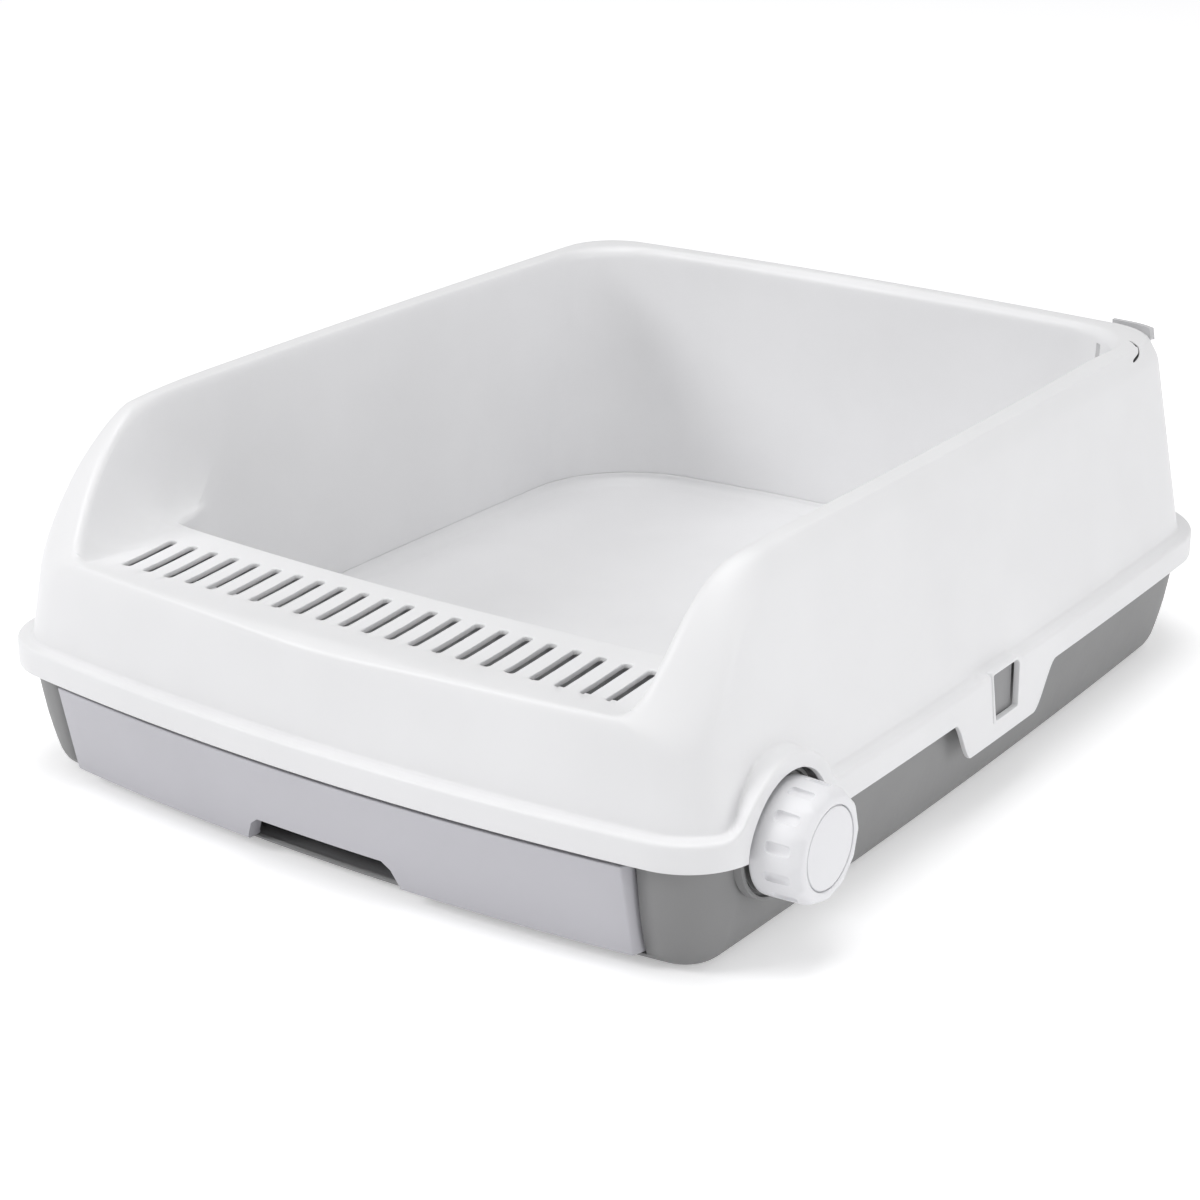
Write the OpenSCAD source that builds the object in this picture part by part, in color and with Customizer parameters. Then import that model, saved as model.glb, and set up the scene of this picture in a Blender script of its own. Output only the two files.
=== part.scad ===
// Drawer litter box: a raised hood over a litter pan, both carried by a base
// with a waste drawer. A side knob tips a half-round trough into the drawer.
// Millimetres. Front is -Y, right is +X, the floor is Z = 0.

/* [Overall size] */
// Half width of the hood's skirt at its corners
skirt_w = 235; // [232:0.5:238]
// Front edge of the skirt at its corners
front_y = -280.5; // [-284:0.5:-278]
// Back edge of the skirt at its corners
back_y = 289.3; // [287:0.5:292]
// Height of the rim round the back and sides
rim_h = 196.5; // [186:0.5:210]
// Height of the step-in ledge
ledge_h = 130; // [126:0.5:134]
// Height of the skirt's lower edge
skirt_z = 63.5; // [63:0.5:64.5]

/* [Hood] */
// Moulded wall thickness
wall = 2.6; // [2.4:0.1:2.8]
// Height of the skirt band
skirt_h = 15; // [14.5:0.5:16]
// Inset of the hood wall from the skirt
skirt_step = 8.5; // [8:0.5:9]
// Forward bow of the front, at the middle
front_bow = 12.6; // [10:0.2:14]
// Outward bow of the sides
side_bow = 3.8; // [3:0.2:4.4]
// Half width of the rim's inner edge
rim_in_w = 194; // [193:0.5:194.5]
// Height of the inner wall's lower edge
inner_z = 44.5; // [44.5:0.5:50]
// Number of slots in the ledge
slot_count = 22; // [10:2:24]
// Width of one slot
slot_w = 5; // [4.5:0.5:6]
// Length of one slot
slot_l = 39; // [30:1:42]
// Distance between slots
slot_pitch = 14.85; // [14:0.05:15]

/* [Base and pan] */
// Height of the base above the floor, on its feet
foot_h = 3; // [2:0.5:3]
// Height of the base's rim
base_rim = 73; // [72:0.5:73]
// Height of the pan's floor
pan_floor = 36; // [35.5:0.5:37]
// Height of the pan's wall
pan_top = 90; // [84:1:96]
// Diameter of a foot
foot_d = 30; // [24:1:32]

/* [Drawer] */
// Half width of the drawer front
drawer_w = 183; // [180:1:184]
// Height of the drawer front's top edge
drawer_top = 60.5; // [58:0.5:61]
// Depth of the drawer tray behind its front
drawer_depth = 165; // [120:5:165]
// Half width of the finger pull at its lower edge
pull_w = 50; // [40:1:60]
// Height of the finger pull
pull_h = 15; // [12:1:18]

/* [Knob and trough] */
// Distance of the trough's axis in front of the middle
axis_y = -214; // [-216:1:-212]
// Height of the trough's axis
axis_z = 65; // [64.5:0.5:66]
// Outer radius of the trough
trough_r = 27; // [24:0.5:27.5]
// Radius of the knob
knob_r = 29.5; // [26:0.5:30]
// Length that the knob stands out
knob_l = 28; // [24:1:32]
// Number of finger grooves round the knob
knob_grooves = 12; // [8:1:14]

/* [Hidden] */
$fn = 64;
eps = 0.01;

white = [0.93, 0.93, 0.94];
light_grey = [0.78, 0.78, 0.80];
mid_grey = [0.55, 0.55, 0.55];
dark_grey = [0.22, 0.22, 0.23];

// ---- outlines -------------------------------------------------------------
// An outline is a rounded rectangle with bowed sides, symmetric about X = 0:
// [half width, front y, back y, front radius, back radius, front, side, back bow].
// A place on its right half is s: 0 to 1 front, 1 to 2 front corner,
// 2 to 3 side, 3 to 4 back corner, 4 to 5 back.

// The line that touches two corner circles on the outside has this normal.
function tangent_normal(p, q, r1, r2) =
    let (u = (q - p) / norm(q - p), n = [u.y, -u.x], k = (r1 - r2) / norm(q - p))
    n * sqrt(1 - k * k) + u * k;

function side_normal(p, q, bow, r1, r2, t) =
    let (n = tangent_normal(p, q, r1, r2), m = n + [n.y, -n.x] * 4 * bow * (1 - 2 * t) / norm(q - p))
    m / norm(m);

function side_point(p, q, bow, r1, r2, t) =
    p + (q - p) * t + tangent_normal(p, q, r1, r2) * 4 * bow * t * (1 - t)
        + side_normal(p, q, bow, r1, r2, t) * (r1 + (r2 - r1) * t);

function corner_point(c, r, n0, n1, t) =
    let (a0 = atan2(n0.y, n0.x), a = a0 + (atan2(n1.y, n1.x) - a0) * t)
    c + r * [cos(a), sin(a)];

function outline_point(o, s) =
    let (
        fl = [o[3] - o[0], o[1] + o[3]],
        fr = [o[0] - o[3], o[1] + o[3]],
        br = [o[0] - o[4], o[2] - o[4]],
        bl = [o[4] - o[0], o[2] - o[4]]
    )
    s <= 1 ? side_point(fl, fr, o[5], o[3], o[3], 0.5 + s / 2)
    : s <= 2 ? corner_point(fr, o[3], side_normal(fl, fr, o[5], o[3], o[3], 1),
        side_normal(fr, br, o[6], o[3], o[4], 0), s - 1)
    : s <= 3 ? side_point(fr, br, o[6], o[3], o[4], s - 2)
    : s <= 4 ? corner_point(br, o[4], side_normal(fr, br, o[6], o[3], o[4], 1),
        side_normal(br, bl, o[7], o[4], o[4], 0), s - 3)
    : side_point(br, bl, o[7], o[4], o[4], (s - 4) / 2);

function inset(o, d) =
    [o[0] - d, o[1] + d, o[2] - d, max(o[3] - d, 1), max(o[4] - d, 1), o[5], o[6], o[7]];

function blend(a, b, t) = a + (b - a) * t;

function steps(a, b, n) = [for (i = [0 : n - 1]) a + (b - a) * i / n];

function mirrored(p) = len(p) == 3 ? [-p.x, p.y, p.z] : [-p.x, p.y];

function ring_at(o, places, z) =
    concat([for (s = places) concat(outline_point(o, s), [z])],
        [for (i = [len(places) - 2 : -1 : 1]) mirrored(concat(outline_point(o, places[i]), [z]))]);

function outline_2d(o, places) = [for (p = ring_at(o, places, 0)) [p.x, p.y]];

vessel_places = concat(steps(0, 1, 3), steps(1, 2, 6), steps(2, 3, 3), steps(3, 4, 7), steps(4, 5, 2),
    [5]);

// A solid skinned over rings that all have the same number of points. The
// first and the last ring are closed with flat faces.
module skin(rings) {
    n = len(rings[0]);
    m = len(rings);
    faces = concat(
        [[for (i = [0 : n - 1]) i]],
        [for (j = [0 : m - 2], i = [0 : n - 1]) [j * n + i, (j + 1) * n + i, j * n + (i + 1) % n]],
        [for (j = [0 : m - 2], i = [0 : n - 1])
            [j * n + (i + 1) % n, (j + 1) * n + i, (j + 1) * n + (i + 1) % n]],
        [[for (i = [n - 1 : -1 : 0]) (m - 1) * n + i]]);
    polyhedron([for (r = rings) each r], faces);
}

// A solid that closes both round the outline and round its section.
module closed_skin(rows) {
    n = len(rows[0]);
    m = len(rows);
    faces = concat(
        [for (j = [0 : m - 1], i = [0 : n - 1]) [j * n + i, j * n + (i + 1) % n, ((j + 1) % m) * n + i]],
        [for (j = [0 : m - 1], i = [0 : n - 1])
            [j * n + (i + 1) % n, ((j + 1) % m) * n + (i + 1) % n, ((j + 1) % m) * n + i]]);
    polyhedron([for (r = rows) each r], faces);
}

module along_x(x, y, z) {
    translate([x, y, z]) rotate([0, 90, 0]) children();
}

// ---- hood -----------------------------------------------------------------
skirt_o = [skirt_w, front_y, back_y, 42, 58, front_bow, side_bow, side_bow];
wall_o = inset(skirt_o, skirt_step);
flange_z = skirt_z + skirt_h;
top_o = [207, -266, 258.5, 40, 52, 10, 3.2, 6.3];
lip_y = -268;
lip_bow = 10;
lip_x = 164;
curve_w = rim_in_w - lip_x;
curve_l = 75;
rim_back_y = 243.65;
rim_back_r = 76;
rise_y = 90;
ledge_back_y = -190;
ledge_back_bow = 7;
ledge_back_x = 172;
fillet_r = 34;
lip_drop = 8;
pan_clear_y = -176;
gusset_end = 2.12;
gusset_l = 75;
// From here to the back the double wall is hollow up to the rim.
cavity_from = 2.28;

// Rim height as a function of how far back the place is: an S-curve.
function quintic(t) = t * t * t * (10 - 15 * t + 6 * t * t);
function rim_z(y) =
    ledge_h + (rim_h - ledge_h) * quintic(pow(min(max((y - lip_y) / rise_y, 0), 1), 0.65));

// The outer wall's front corner runs on along the side to where the rim's corner ends.
corner_end_y = lip_y + curve_l;
function corner_run(o, f) =
    let (
        arc = o[3] * PI / 2,
        straight = corner_end_y - (o[1] + o[3]),
        at = f * (arc + straight)
    )
    at <= arc ? outline_point(o, 1 + at / arc)
    : [blend(outline_point(o, 2).x, o[0] + 0.3 * o[6], (at - arc) / straight),
        blend(outline_point(o, 2).y, corner_end_y, (at - arc) / straight)];

function side_run(o, f) =
    let (y = blend(corner_end_y, o[2] - o[4], f), t = (y - corner_end_y) / (o[2] - o[4] - corner_end_y))
    [blend(o[0] + 0.3 * o[6], outline_point(o, 3).x, t) + o[6] * 3 * t * (1 - t), y];

// Places round the hood use the same numbering as an outline.
function hood_point(o, s) =
    s <= 1 ? outline_point(o, s)
    : s <= 2 ? corner_run(o, s - 1)
    : s <= 3 ? side_run(o, s - 2)
    : outline_point(o, s);

rim_back_o = [rim_in_w, -200, rim_back_y, 20, rim_back_r, 0, 2.9, 6.3];

// The rim's inner edge, seen from above.
function rim_point(s) =
    s <= 1 ? [lip_x * s, lip_y - lip_bow * (1 - s * s)]
    : s <= 2 ? [lip_x + curve_w * sin(90 * (s - 1)), lip_y + curve_l * (1 - cos(90 * (s - 1)))]
    : s <= 3 ? [rim_in_w + rim_bow(s), rim_side_y(s)]
    : outline_point(rim_back_o, s);

function rim_bow(s) = 2.9 * 4 * (s - 2) * (3 - s);
function rim_side_y(s) =
    s <= gusset_end ? blend(corner_end_y, pan_clear_y, (s - 2) / (gusset_end - 2))
    : blend(pan_clear_y, rim_back_y - rim_back_r, (s - gusset_end) / (3 - gusset_end));

// The inner wall comes in towards the ledge's end over this length.
function smooth(t) = t * t * (3 - 2 * t);
function inner_wall_x(s, y) =
    rim_in_w + 0.8 + rim_bow(s)
        - (rim_in_w + 0.8 - ledge_back_x) * (1 - smooth(min(max((y - ledge_back_y) / gusset_l, 0), 1)));

// Where the inner surface meets the level of the ledge.
function ledge_edge(x) = [x, ledge_back_y - ledge_back_bow * (1 - pow(x / ledge_back_x, 2))];
function ledge_point(s) =
    s <= 1 ? ledge_edge(s * ledge_back_x * 0.78)
    : s <= 2 ? ledge_edge(ledge_back_x * (0.78 + 0.22 * (s - 1)))
    : s <= gusset_end ? let (a = 90 * (s - 2) / (gusset_end - 2), w = inner_wall_x(s, pan_clear_y))
        [ledge_back_x + (w - ledge_back_x) * sin(a), pan_clear_y - (pan_clear_y - ledge_back_y) * cos(a)]
    : s <= 3 ? [inner_wall_x(s, rim_side_y(s)), rim_side_y(s)]
    : outline_point(inset(rim_back_o, -0.8), s);

// One section through the hood, from the skirt's outer foot over the rim and
// down the inner wall, then back up inside. end_z is the inner wall's foot.
function hood_section(s, end_z) =
    let (
        rim = rim_point(s),
        zc = rim_z(rim.y),
        rise = (zc - flange_z) / (rim_h - flange_z),
        k = blend(hood_point(wall_o, s), hood_point(top_o, s), rise),
        corner = s < 1 ? pow(s, 3) * 0.4
            : s < 2 ? blend(0.4, 1, sin(180 * (s - 1))) * (1 - pow(max(s - 1.6, 0) / 0.4, 2))
            : 0,
        drop = min(11.5 + 12 * corner, (zc - flange_z) * 0.45),
        fa = (zc - drop - flange_z) / (rim_h - flange_z),
        a = blend(hood_point(wall_o, s), hood_point(top_o, s), fa),
        a3 = [a.x, a.y, zc - drop],
        k3 = [k.x, k.y, zc],
        c3 = [rim.x, rim.y, zc],
        crown = smooth(min(max((s - 1.55) / 0.45, 0), 1)),
        h1 = blend(a3, k3, 0.62),
        h2 = blend(c3, k3, 0.62),
        e3 = concat(blend(rim, k, 0.83), [zc]),
        foot = ledge_point(s),
        inward = foot - rim,
        reach = norm(inward),
        dir = inward / max(reach, 0.001),
        drop_in = zc - ledge_h,
        v = min(drop_in, fillet_r),
        h = min(fillet_r, reach, 2.2 * drop_in),
        tall = s >= cavity_from,
        turn = 90 * min(max((s - 2) / (gusset_end - 2), 0), 1),
        back = s > 3 ? outline_point(inset(rim_back_o, -0.8 - wall), s)
            : foot + wall * [sin(turn), -cos(turn)],
        bev = min(1.6, drop_in / 3),
        edge = min(0.3, reach / 4),
        wi = hood_point(inset(wall_o, wall), s),
        ti = hood_point(inset(top_o, wall), s),
        fi = (zc - wall - 6 - flange_z) / (rim_h - flange_z),
        roof_o = blend(wi, ti, max(fi, 0.2)),
        roof_z = flange_z + max(fi, 0.2) * (rim_h - flange_z),
        so = hood_point(skirt_o, s),
        si = hood_point(inset(skirt_o, wall), s),
        roof_i = tall ? back : blend(roof_o, back, 0.85)
    )
    [
        concat(so, [skirt_z]),
        concat(so, [flange_z - 2.2]),
        concat(blend(so, hood_point(wall_o, s), 0.14), [flange_z - 0.5]),
        concat(blend(so, hood_point(wall_o, s), 0.34), [flange_z]),
        concat(hood_point(wall_o, s), [flange_z]),
        for (t = [0.3, 0.65]) concat(blend(hood_point(wall_o, s), a, t), [blend(flange_z, zc - drop, t)]),
        a3,
        for (t = [0.2 : 0.2 : 0.81]) blend(bezier(a3, h1, h2, c3, t), edge_path(a3, e3, c3, t), crown),
        c3 + concat(dir * edge * 0.3, [-bev * 0.05]),
        c3 + concat(dir * edge, [-bev]),
        c3 + concat(dir * edge, [-max(drop_in - v, bev + 0.1 * drop_in)]),
        for (t = [30, 60, 90]) fillet_point(c3, dir, h, v, edge, t),
        concat(foot, [ledge_h]),
        concat(foot, [end_z]),
        concat(back, [end_z]),
        concat(back, [tall ? zc - wall - 4 : ledge_h - wall]),
        concat(blend(roof_o, roof_i, 0.5), [tall ? zc - wall - 1 : ledge_h - wall]),
        concat(roof_o, [tall ? roof_z : min(roof_z, ledge_h - wall)]),
        concat(wi, [flange_z + 2]),
        concat(wi, [flange_z - wall]),
        concat(si, [flange_z - wall]),
        concat(si, [skirt_z])
    ];

function bezier(p0, p1, p2, p3, t) =
    p0 * pow(1 - t, 3) + p1 * 3 * t * pow(1 - t, 2) + p2 * 3 * t * t * (1 - t) + p3 * pow(t, 3);

// The high rim has a flat top with a distinct outer edge.
function edge_path(a, e, c, t) =
    t < 0.3 ? blend(a, e, 0.7)
    : t < 0.5 ? blend(blend(a, e, 0.93), blend(e, c, 0.07), 0.3)
    : t < 0.7 ? blend(blend(a, e, 0.93), blend(e, c, 0.12), 0.85)
    : blend(e, c, 0.3);

function fillet_point(c, dir, h, v, start, a) =
    let (x = start + (h - start) * (1 - cos(a)), z = ledge_h + v * (1 - sin(a)))
    [c.x + dir.x * x, c.y + dir.y * x, min(z, c.z - start * 0.2)];

lip_places = steps(0, 1, 5);
curve_places = steps(1, 2, 12);
front_end_places = [2, 2.04, 2.08, 2.11];
side_places = concat([gusset_end, 2.16, 2.2, 2.24, 2.28], steps(2.4, 3, 3));
back_places = concat(steps(3, 4, 8), steps(4, 5, 3), [5]);

function hood_rows() =
    let (
        front_places = concat(lip_places, curve_places, front_end_places),
        rear_places = concat(side_places, back_places),
        front = [for (s = front_places) hood_section(s, ledge_h - lip_drop)],
        rear = [for (s = rear_places) hood_section(s, inner_z)],
        half = concat(front, rear)
    )
    concat(half, [for (i = [len(half) - 2 : -1 : 1]) [for (p = half[i]) mirrored(p)]]);

arch_r = 33.5;
arch_out_r = 42;
arch_hollow_r = 13;
arch_x0 = 222;
arch_leg_x = 229.6;
lug_y = 2;
window_z = 51.5;

module ledge_slots() {
    for (i = [0 : slot_count - 1]) {
        x = (i - (slot_count - 1) / 2) * slot_pitch;
        translate([x, axis_y - 17, ledge_h - 20]) linear_extrude(40) {
            square([slot_w, slot_l - slot_w], center = true);
            for (e = [-1, 1]) translate([0, e * (slot_l - slot_w) / 2]) circle(d = slot_w, $fn = 16);
        }
    }
}

// The skirt's top edge climbs over the knob in a round arch that runs out into
// the level edge with a hollow on each side.
arch_rise = flange_z - axis_z + arch_hollow_r;
arch_reach = sqrt(pow(arch_out_r + arch_hollow_r, 2) - pow(arch_rise, 2));
arch_turn = atan2(arch_reach, arch_rise);
function arch_edge() = concat(
    [for (i = [0 : 5]) let (b = arch_turn * i / 6)
        [-arch_reach + arch_hollow_r * sin(b), flange_z + arch_hollow_r * (1 - cos(b))]],
    [for (i = [-9 : 9]) let (c = arch_turn * i / 9) [arch_out_r * sin(c), axis_z + arch_out_r * cos(c)]],
    [for (i = [5 : -1 : 0]) let (b = arch_turn * i / 6)
        [arch_reach - arch_hollow_r * sin(b), flange_z + arch_hollow_r * (1 - cos(b))]]);

module arch_band() {
    low = flange_z - wall + 0.05;
    intersection() {
        union() {
            translate([arch_x0, axis_y, 0]) rotate([90, 0, 90]) linear_extrude(20)
                polygon(concat([[-arch_reach, low]], arch_edge(), [[arch_reach, low]]));
            intersection() {
                along_x(arch_leg_x, axis_y, axis_z) cylinder(r = arch_out_r, h = 20);
                translate([arch_leg_x, axis_y - 60, skirt_z]) cube([20, 120, flange_z - skirt_z]);
            }
        }
        translate([0, 0, skirt_z]) linear_extrude(60)
            polygon(outline_2d(inset(skirt_o, 0.15), vessel_places));
    }
}

module arch_hole() {
    along_x(arch_x0 - 10, axis_y, axis_z) cylinder(r = arch_r, h = 40);
    translate([arch_x0 - 10, axis_y - arch_r, skirt_z - 20]) cube([40, 2 * arch_r, axis_z - skirt_z + 20]);
}

module lug(side) {
    lug_x = skirt_w + side_bow;
    scale([side, 1, 1]) translate([lug_x - wall - 0.2, lug_y, 0]) rotate([90, 0, 90])
        linear_extrude(wall) polygon([[-36, 39], [37, 39], [40, 41], [55, skirt_z - 1], [57, skirt_z + 2],
            [57, skirt_z + 8], [-56, skirt_z + 8], [-56, skirt_z + 2], [-53, skirt_z - 1], [-39, 41]]);
}

window_top = 79.5;
frame_w = 1.6;
frame_proud = 0.4;

module window_outline() {
    polygon([[lug_y - 13, window_z], [lug_y + 11.5, window_z], [lug_y + 11, window_top],
        [lug_y - 19, window_top]]);
}

module lug_window(side) {
    reach = 12;
    scale([side, 1, 1]) translate([skirt_w + side_bow - 8.2, 0, 0]) rotate([90, 0, 90])
        linear_extrude(reach) window_outline();
}

// A thin raised frame stiffens the window's edge.
module window_frame(side) {
    scale([side, 1, 1]) translate([skirt_w + side_bow - wall, 0, 0]) rotate([90, 0, 90])
        linear_extrude(wall + frame_proud) offset(delta = frame_w) window_outline();
}

module hood() {
    color(white) difference() {
        union() {
            closed_skin(hood_rows());
            arch_band();
            for (side = [-1, 1]) {
                lug(side);
                window_frame(side);
            }
        }
        ledge_slots();
        arch_hole();
        for (side = [-1, 1]) lug_window(side);
        holder_slot();
    }
}

// ---- base -----------------------------------------------------------------
base_o = inset(skirt_o, 8);
base_wall = 2.6;
// Inset of the base's outer wall at each height
base_profile = [[foot_h, 19], [foot_h + 0.8, 16.4], [foot_h + 3.2, 13.6], [foot_h + 9, 10.6],
    [24, 7.4], [45, 3.4], [66, 0.4], [base_rim, 0]];
opening_w = drawer_w + 4.5;
opening_bottom = 8;
opening_top = 62.6;
base_floor = foot_h + base_wall - eps;
runner_y = -244;
runner_l = 154;
boss_r = 10.5;
bush_r = 8;
ear_r = 33;

module base_shell() {
    n = len(base_profile);
    skin(concat(
        [for (p = base_profile) ring_at(inset(base_o, p[1]), vessel_places, p[0])],
        [for (i = [n - 1 : -1 : 2]) ring_at(inset(base_o, base_profile[i][1] + base_wall), vessel_places,
            base_profile[i][0] + (i < 4 ? base_wall * 0.6 : 0))],
        [ring_at(inset(base_o, base_profile[0][1] + base_wall + 3), vessel_places, foot_h + base_wall)]));
}

module drawer_opening() {
    translate([0, -240, 0]) rotate([90, 0, 0]) linear_extrude(80)
        polygon([[-opening_w + 1, opening_bottom], [opening_w - 1, opening_bottom], [opening_w, opening_top],
            [-opening_w, opening_top]]);
}

module latch_ears(side) {
    for (e = [-1, 1]) scale([side, 1, 1]) translate([latch_x - 6, lug_y - 1 + e * 15.6 - 1.5, latch_z - 3.6])
        cube([9.6, 3, 7.2]);
}

module base_tray() {
    color(mid_grey) difference() {
        union() {
            difference() {
                base_shell();
                drawer_opening();
            }
            // ear and collar round the knob's shaft
            along_x(224.2, axis_y, axis_z) cylinder(r = ear_r, h = 2.8);
            along_x(226, axis_y, axis_z) difference() {
                cylinder(r = ear_r, h = 3.4);
                translate([0, 0, -1]) cylinder(r = ear_r - 2, h = 6);
            }
            along_x(212, axis_y, axis_z) cylinder(r = boss_r, h = 13);
            along_x(-225, axis_y, axis_z) cylinder(r = boss_r, h = 13);
            // runners for the drawer
            for (e = [-1, 1]) scale([e, 1, 1]) translate([0, runner_y, base_floor]) {
                translate([tray_w - 8, 0, 0]) cube([14, runner_l, tray_z - base_floor]);
                translate([tray_w + 3, 0, 0]) cube([3, runner_l, tray_z - base_floor + 8]);
            }
            // ribs under the pan
            for (x = [-110, 0, 110]) translate([x - 1.2, -80, base_floor])
                cube([2.4, 322, pan_floor - pan_wall - 0.4 - base_floor]);
            for (y = [-80, 80]) translate([-196, y - 1.2, base_floor])
                cube([392, 2.4, pan_floor - pan_wall - 0.4 - base_floor]);
            latch_ears(1);
            latch_ears(-1);
        }
        along_x(205, axis_y, axis_z) cylinder(r = bush_r, h = 40);
        along_x(-223, axis_y, axis_z) cylinder(r = bush_r, h = 20);
        for (side = [-1, 1]) translate([side * latch_x, lug_y - 1 - 25, latch_z]) rotate([-90, 0, 0])
            cylinder(r = latch_pin_r + 0.05, h = 50, $fn = 32);
        for (side = [-1, 1], end = [-1, 1]) {
            foot_seat(side, end);
            foot_place(side, end) translate([0, 0, foot_h - 1]) cylinder(r = 3, h = 10);
        }
    }
}

foot_x = 187;
foot_front_y = -232;
foot_back_y = 238;
seat_depth = 0.6;

module foot_place(side, end) {
    translate([side * foot_x, end < 0 ? foot_front_y : foot_back_y, 0]) children();
}

// The underside steps up at each corner, where the foot is seated.
module foot_seat(side, end) {
    edge = foot_d / 2 + 2;
    reach = 90;
    foot_place(side, end) translate([side < 0 ? edge - reach : -edge, end < 0 ? edge - reach : -edge, -1])
        cube([reach, reach, foot_h + seat_depth + 1]);
}

module foot(side, end) {
    color(dark_grey) foot_place(side, end) {
        top = foot_h + seat_depth;
        rotate_extrude() polygon([[0, 0], [foot_d / 2 - 1, 0], [foot_d / 2, 0.8], [foot_d / 2, top],
            [0, top]]);
        translate([0, 0, top - eps]) cylinder(r = 2.9, h = 1.8);
    }
}

module foot_front_left() { foot(-1, -1); }
module foot_front_right() { foot(1, -1); }
module foot_rear_left() { foot(-1, 1); }
module foot_rear_right() { foot(1, 1); }

// ---- litter pan -----------------------------------------------------------
pan_gap = 5.8;
pan_o = [rim_in_w + pan_gap, -181, rim_back_y + pan_gap, 8, rim_back_r + pan_gap, 1.5, 2.9, 6.3];
pan_wall = 2.4;
// Height above the pan's floor and inset of its inner surface: the hood's inner
// wall ends just above a step, and a double curve runs from there to the floor.
pan_profile = [[8, 0], [8, 5.1], [5.2, 5.8], [2.9, 7.6], [1.6, 10.4], [0.5, 13], [0, 16.5]];

module litter_pan() {
    flange_o = inset(base_o, -3.2);
    color(white) {
        skin(concat(
            [for (p = [[-pan_wall, 6], [1.4, 0], [5, -pan_wall]])
                ring_at(inset(pan_o, p[1]), vessel_places, pan_floor + p[0])],
            [ring_at(inset(pan_o, -pan_wall), vessel_places, pan_top)],
            [ring_at(pan_o, vessel_places, pan_top)],
            [for (p = pan_profile) ring_at(inset(pan_o, p[1]), vessel_places, pan_floor + p[0])]));
        difference() {
            translate([0, 0, base_rim]) linear_extrude(wall) difference() {
                intersection() {
                    polygon(outline_2d(flange_o, vessel_places));
                    translate([-300, -169]) square([600, 600]);
                }
                polygon(outline_2d(inset(pan_o, -1), vessel_places));
            }
            for (side = [-1, 1]) translate([side * 236 - 9, lug_y - 24, base_rim - 1]) cube([18, 46, 8]);
        }
    }
}

// ---- drawer ---------------------------------------------------------------
tray_w = 173;
tray_front_y = -256;
tray_z = 8.8;
tray_h = 23;
tray_wall = 2.2;
front_bottom = 8.4;
front_thick = 9;

// The drawer front follows the base's front, a little proud of it, and leans
// forward with it.
front_proud = 6.2;
front_lean = 11.2;
front_foot_y = base_o[1] + 12.2 - front_proud;
end_splay = 2.6;

function front_curve(x) = let (t = x / (base_o[0] - base_o[3])) front_bow * (t * t - 1);

module drawer_plate() {
    xs = [for (i = [-7 : 7]) i / 7 * drawer_w];
    tilt = atan(front_lean / (drawer_top - front_bottom));
    intersection() {
        translate([0, front_foot_y, front_bottom]) rotate([tilt, 0, 0]) translate([0, 0, -10])
            linear_extrude(80) polygon(concat([for (x = xs) [x, front_curve(x)]],
                [for (i = [len(xs) - 1 : -1 : 0])
                    [xs[i] * (1 + end_splay / drawer_w), front_curve(xs[i]) + front_thick]]));
        translate([-drawer_w - 10, front_y - 40, front_bottom])
            cube([2 * drawer_w + 20, 80, drawer_top - front_bottom]);
    }
}

module drawer_front() {
    color(light_grey) difference() {
        union() {
            drawer_plate();
            // boss that carries the tray
            translate([-98, tray_front_y - 17, tray_z + 6.6]) cube([196, 17, tray_h - 8.4]);
        }
        translate([0, tray_front_y - 2.4, 0]) rotate([90, 0, 0]) linear_extrude(60)
            polygon([[-pull_w, front_bottom - 2], [pull_w, front_bottom - 2], [pull_w, front_bottom + 2],
                [pull_w - 4, front_bottom + pull_h - 4], [pull_w - 9, front_bottom + pull_h],
                [-pull_w + 9, front_bottom + pull_h], [-pull_w + 4, front_bottom + pull_h - 4],
                [-pull_w, front_bottom + 2]]);
    }
}

module drawer_tray() {
    l = drawer_depth;
    color(light_grey) difference() {
        translate([-tray_w, tray_front_y, tray_z]) cube([2 * tray_w, l, tray_h]);
        translate([-tray_w + tray_wall, tray_front_y + tray_wall, tray_z + tray_wall])
            cube([2 * (tray_w - tray_wall), l - 2 * tray_wall, tray_h]);
    }
}

// ---- trough and knob ------------------------------------------------------
trough_l = 368;
shaft_r = 6;
spindle_in = 176;
knob_x = 229.8;
cap_r = 20.8;

module trough() {
    color(mid_grey) {
        difference() {
            along_x(-trough_l / 2, axis_y, axis_z) cylinder(r = trough_r, h = trough_l);
            along_x(-trough_l / 2 + 2.4, axis_y, axis_z) cylinder(r = trough_r - 2.2, h = trough_l - 4.8);
            translate([-trough_l / 2 - 1, axis_y - 40, axis_z]) cube([trough_l + 2, 80, 40]);
            for (side = [-1, 1]) along_x(side * trough_l / 2 - 10, axis_y, axis_z) cylinder(r = 9, h = 20);
        }
        for (side = [-1, 1]) along_x(side * (trough_l / 2 - 4) - 5.5, axis_y, axis_z) difference() {
            cylinder(r = 10, h = 11);
            translate([0, 0, -1]) cylinder(r = shaft_r, h = 13);
        }
    }
}

module drive_spindle() {
    color(mid_grey) difference() {
        along_x(spindle_in, axis_y, axis_z) cylinder(r = shaft_r - 0.05, h = 74);
        along_x(spindle_in + 56, axis_y, axis_z) cylinder(r = 2.05, h = 30, $fn = 24);
    }
}

module pivot_pin() {
    color(mid_grey) along_x(-221.5, axis_y, axis_z) cylinder(r = shaft_r - 0.05, h = 221.5 - spindle_in);
}

module bush() {
    rotate_extrude() polygon([[shaft_r, 0], [12, 0], [12, 1.6], [bush_r - 0.02, 1.6], [bush_r - 0.02, 13],
        [shaft_r, 13]]);
}

module bush_right() {
    color(white) along_x(210.3, axis_y, axis_z) bush();
}

module bush_left() {
    color(white) translate([-209.9, axis_y, axis_z]) rotate([0, -90, 0]) bush();
}

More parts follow.
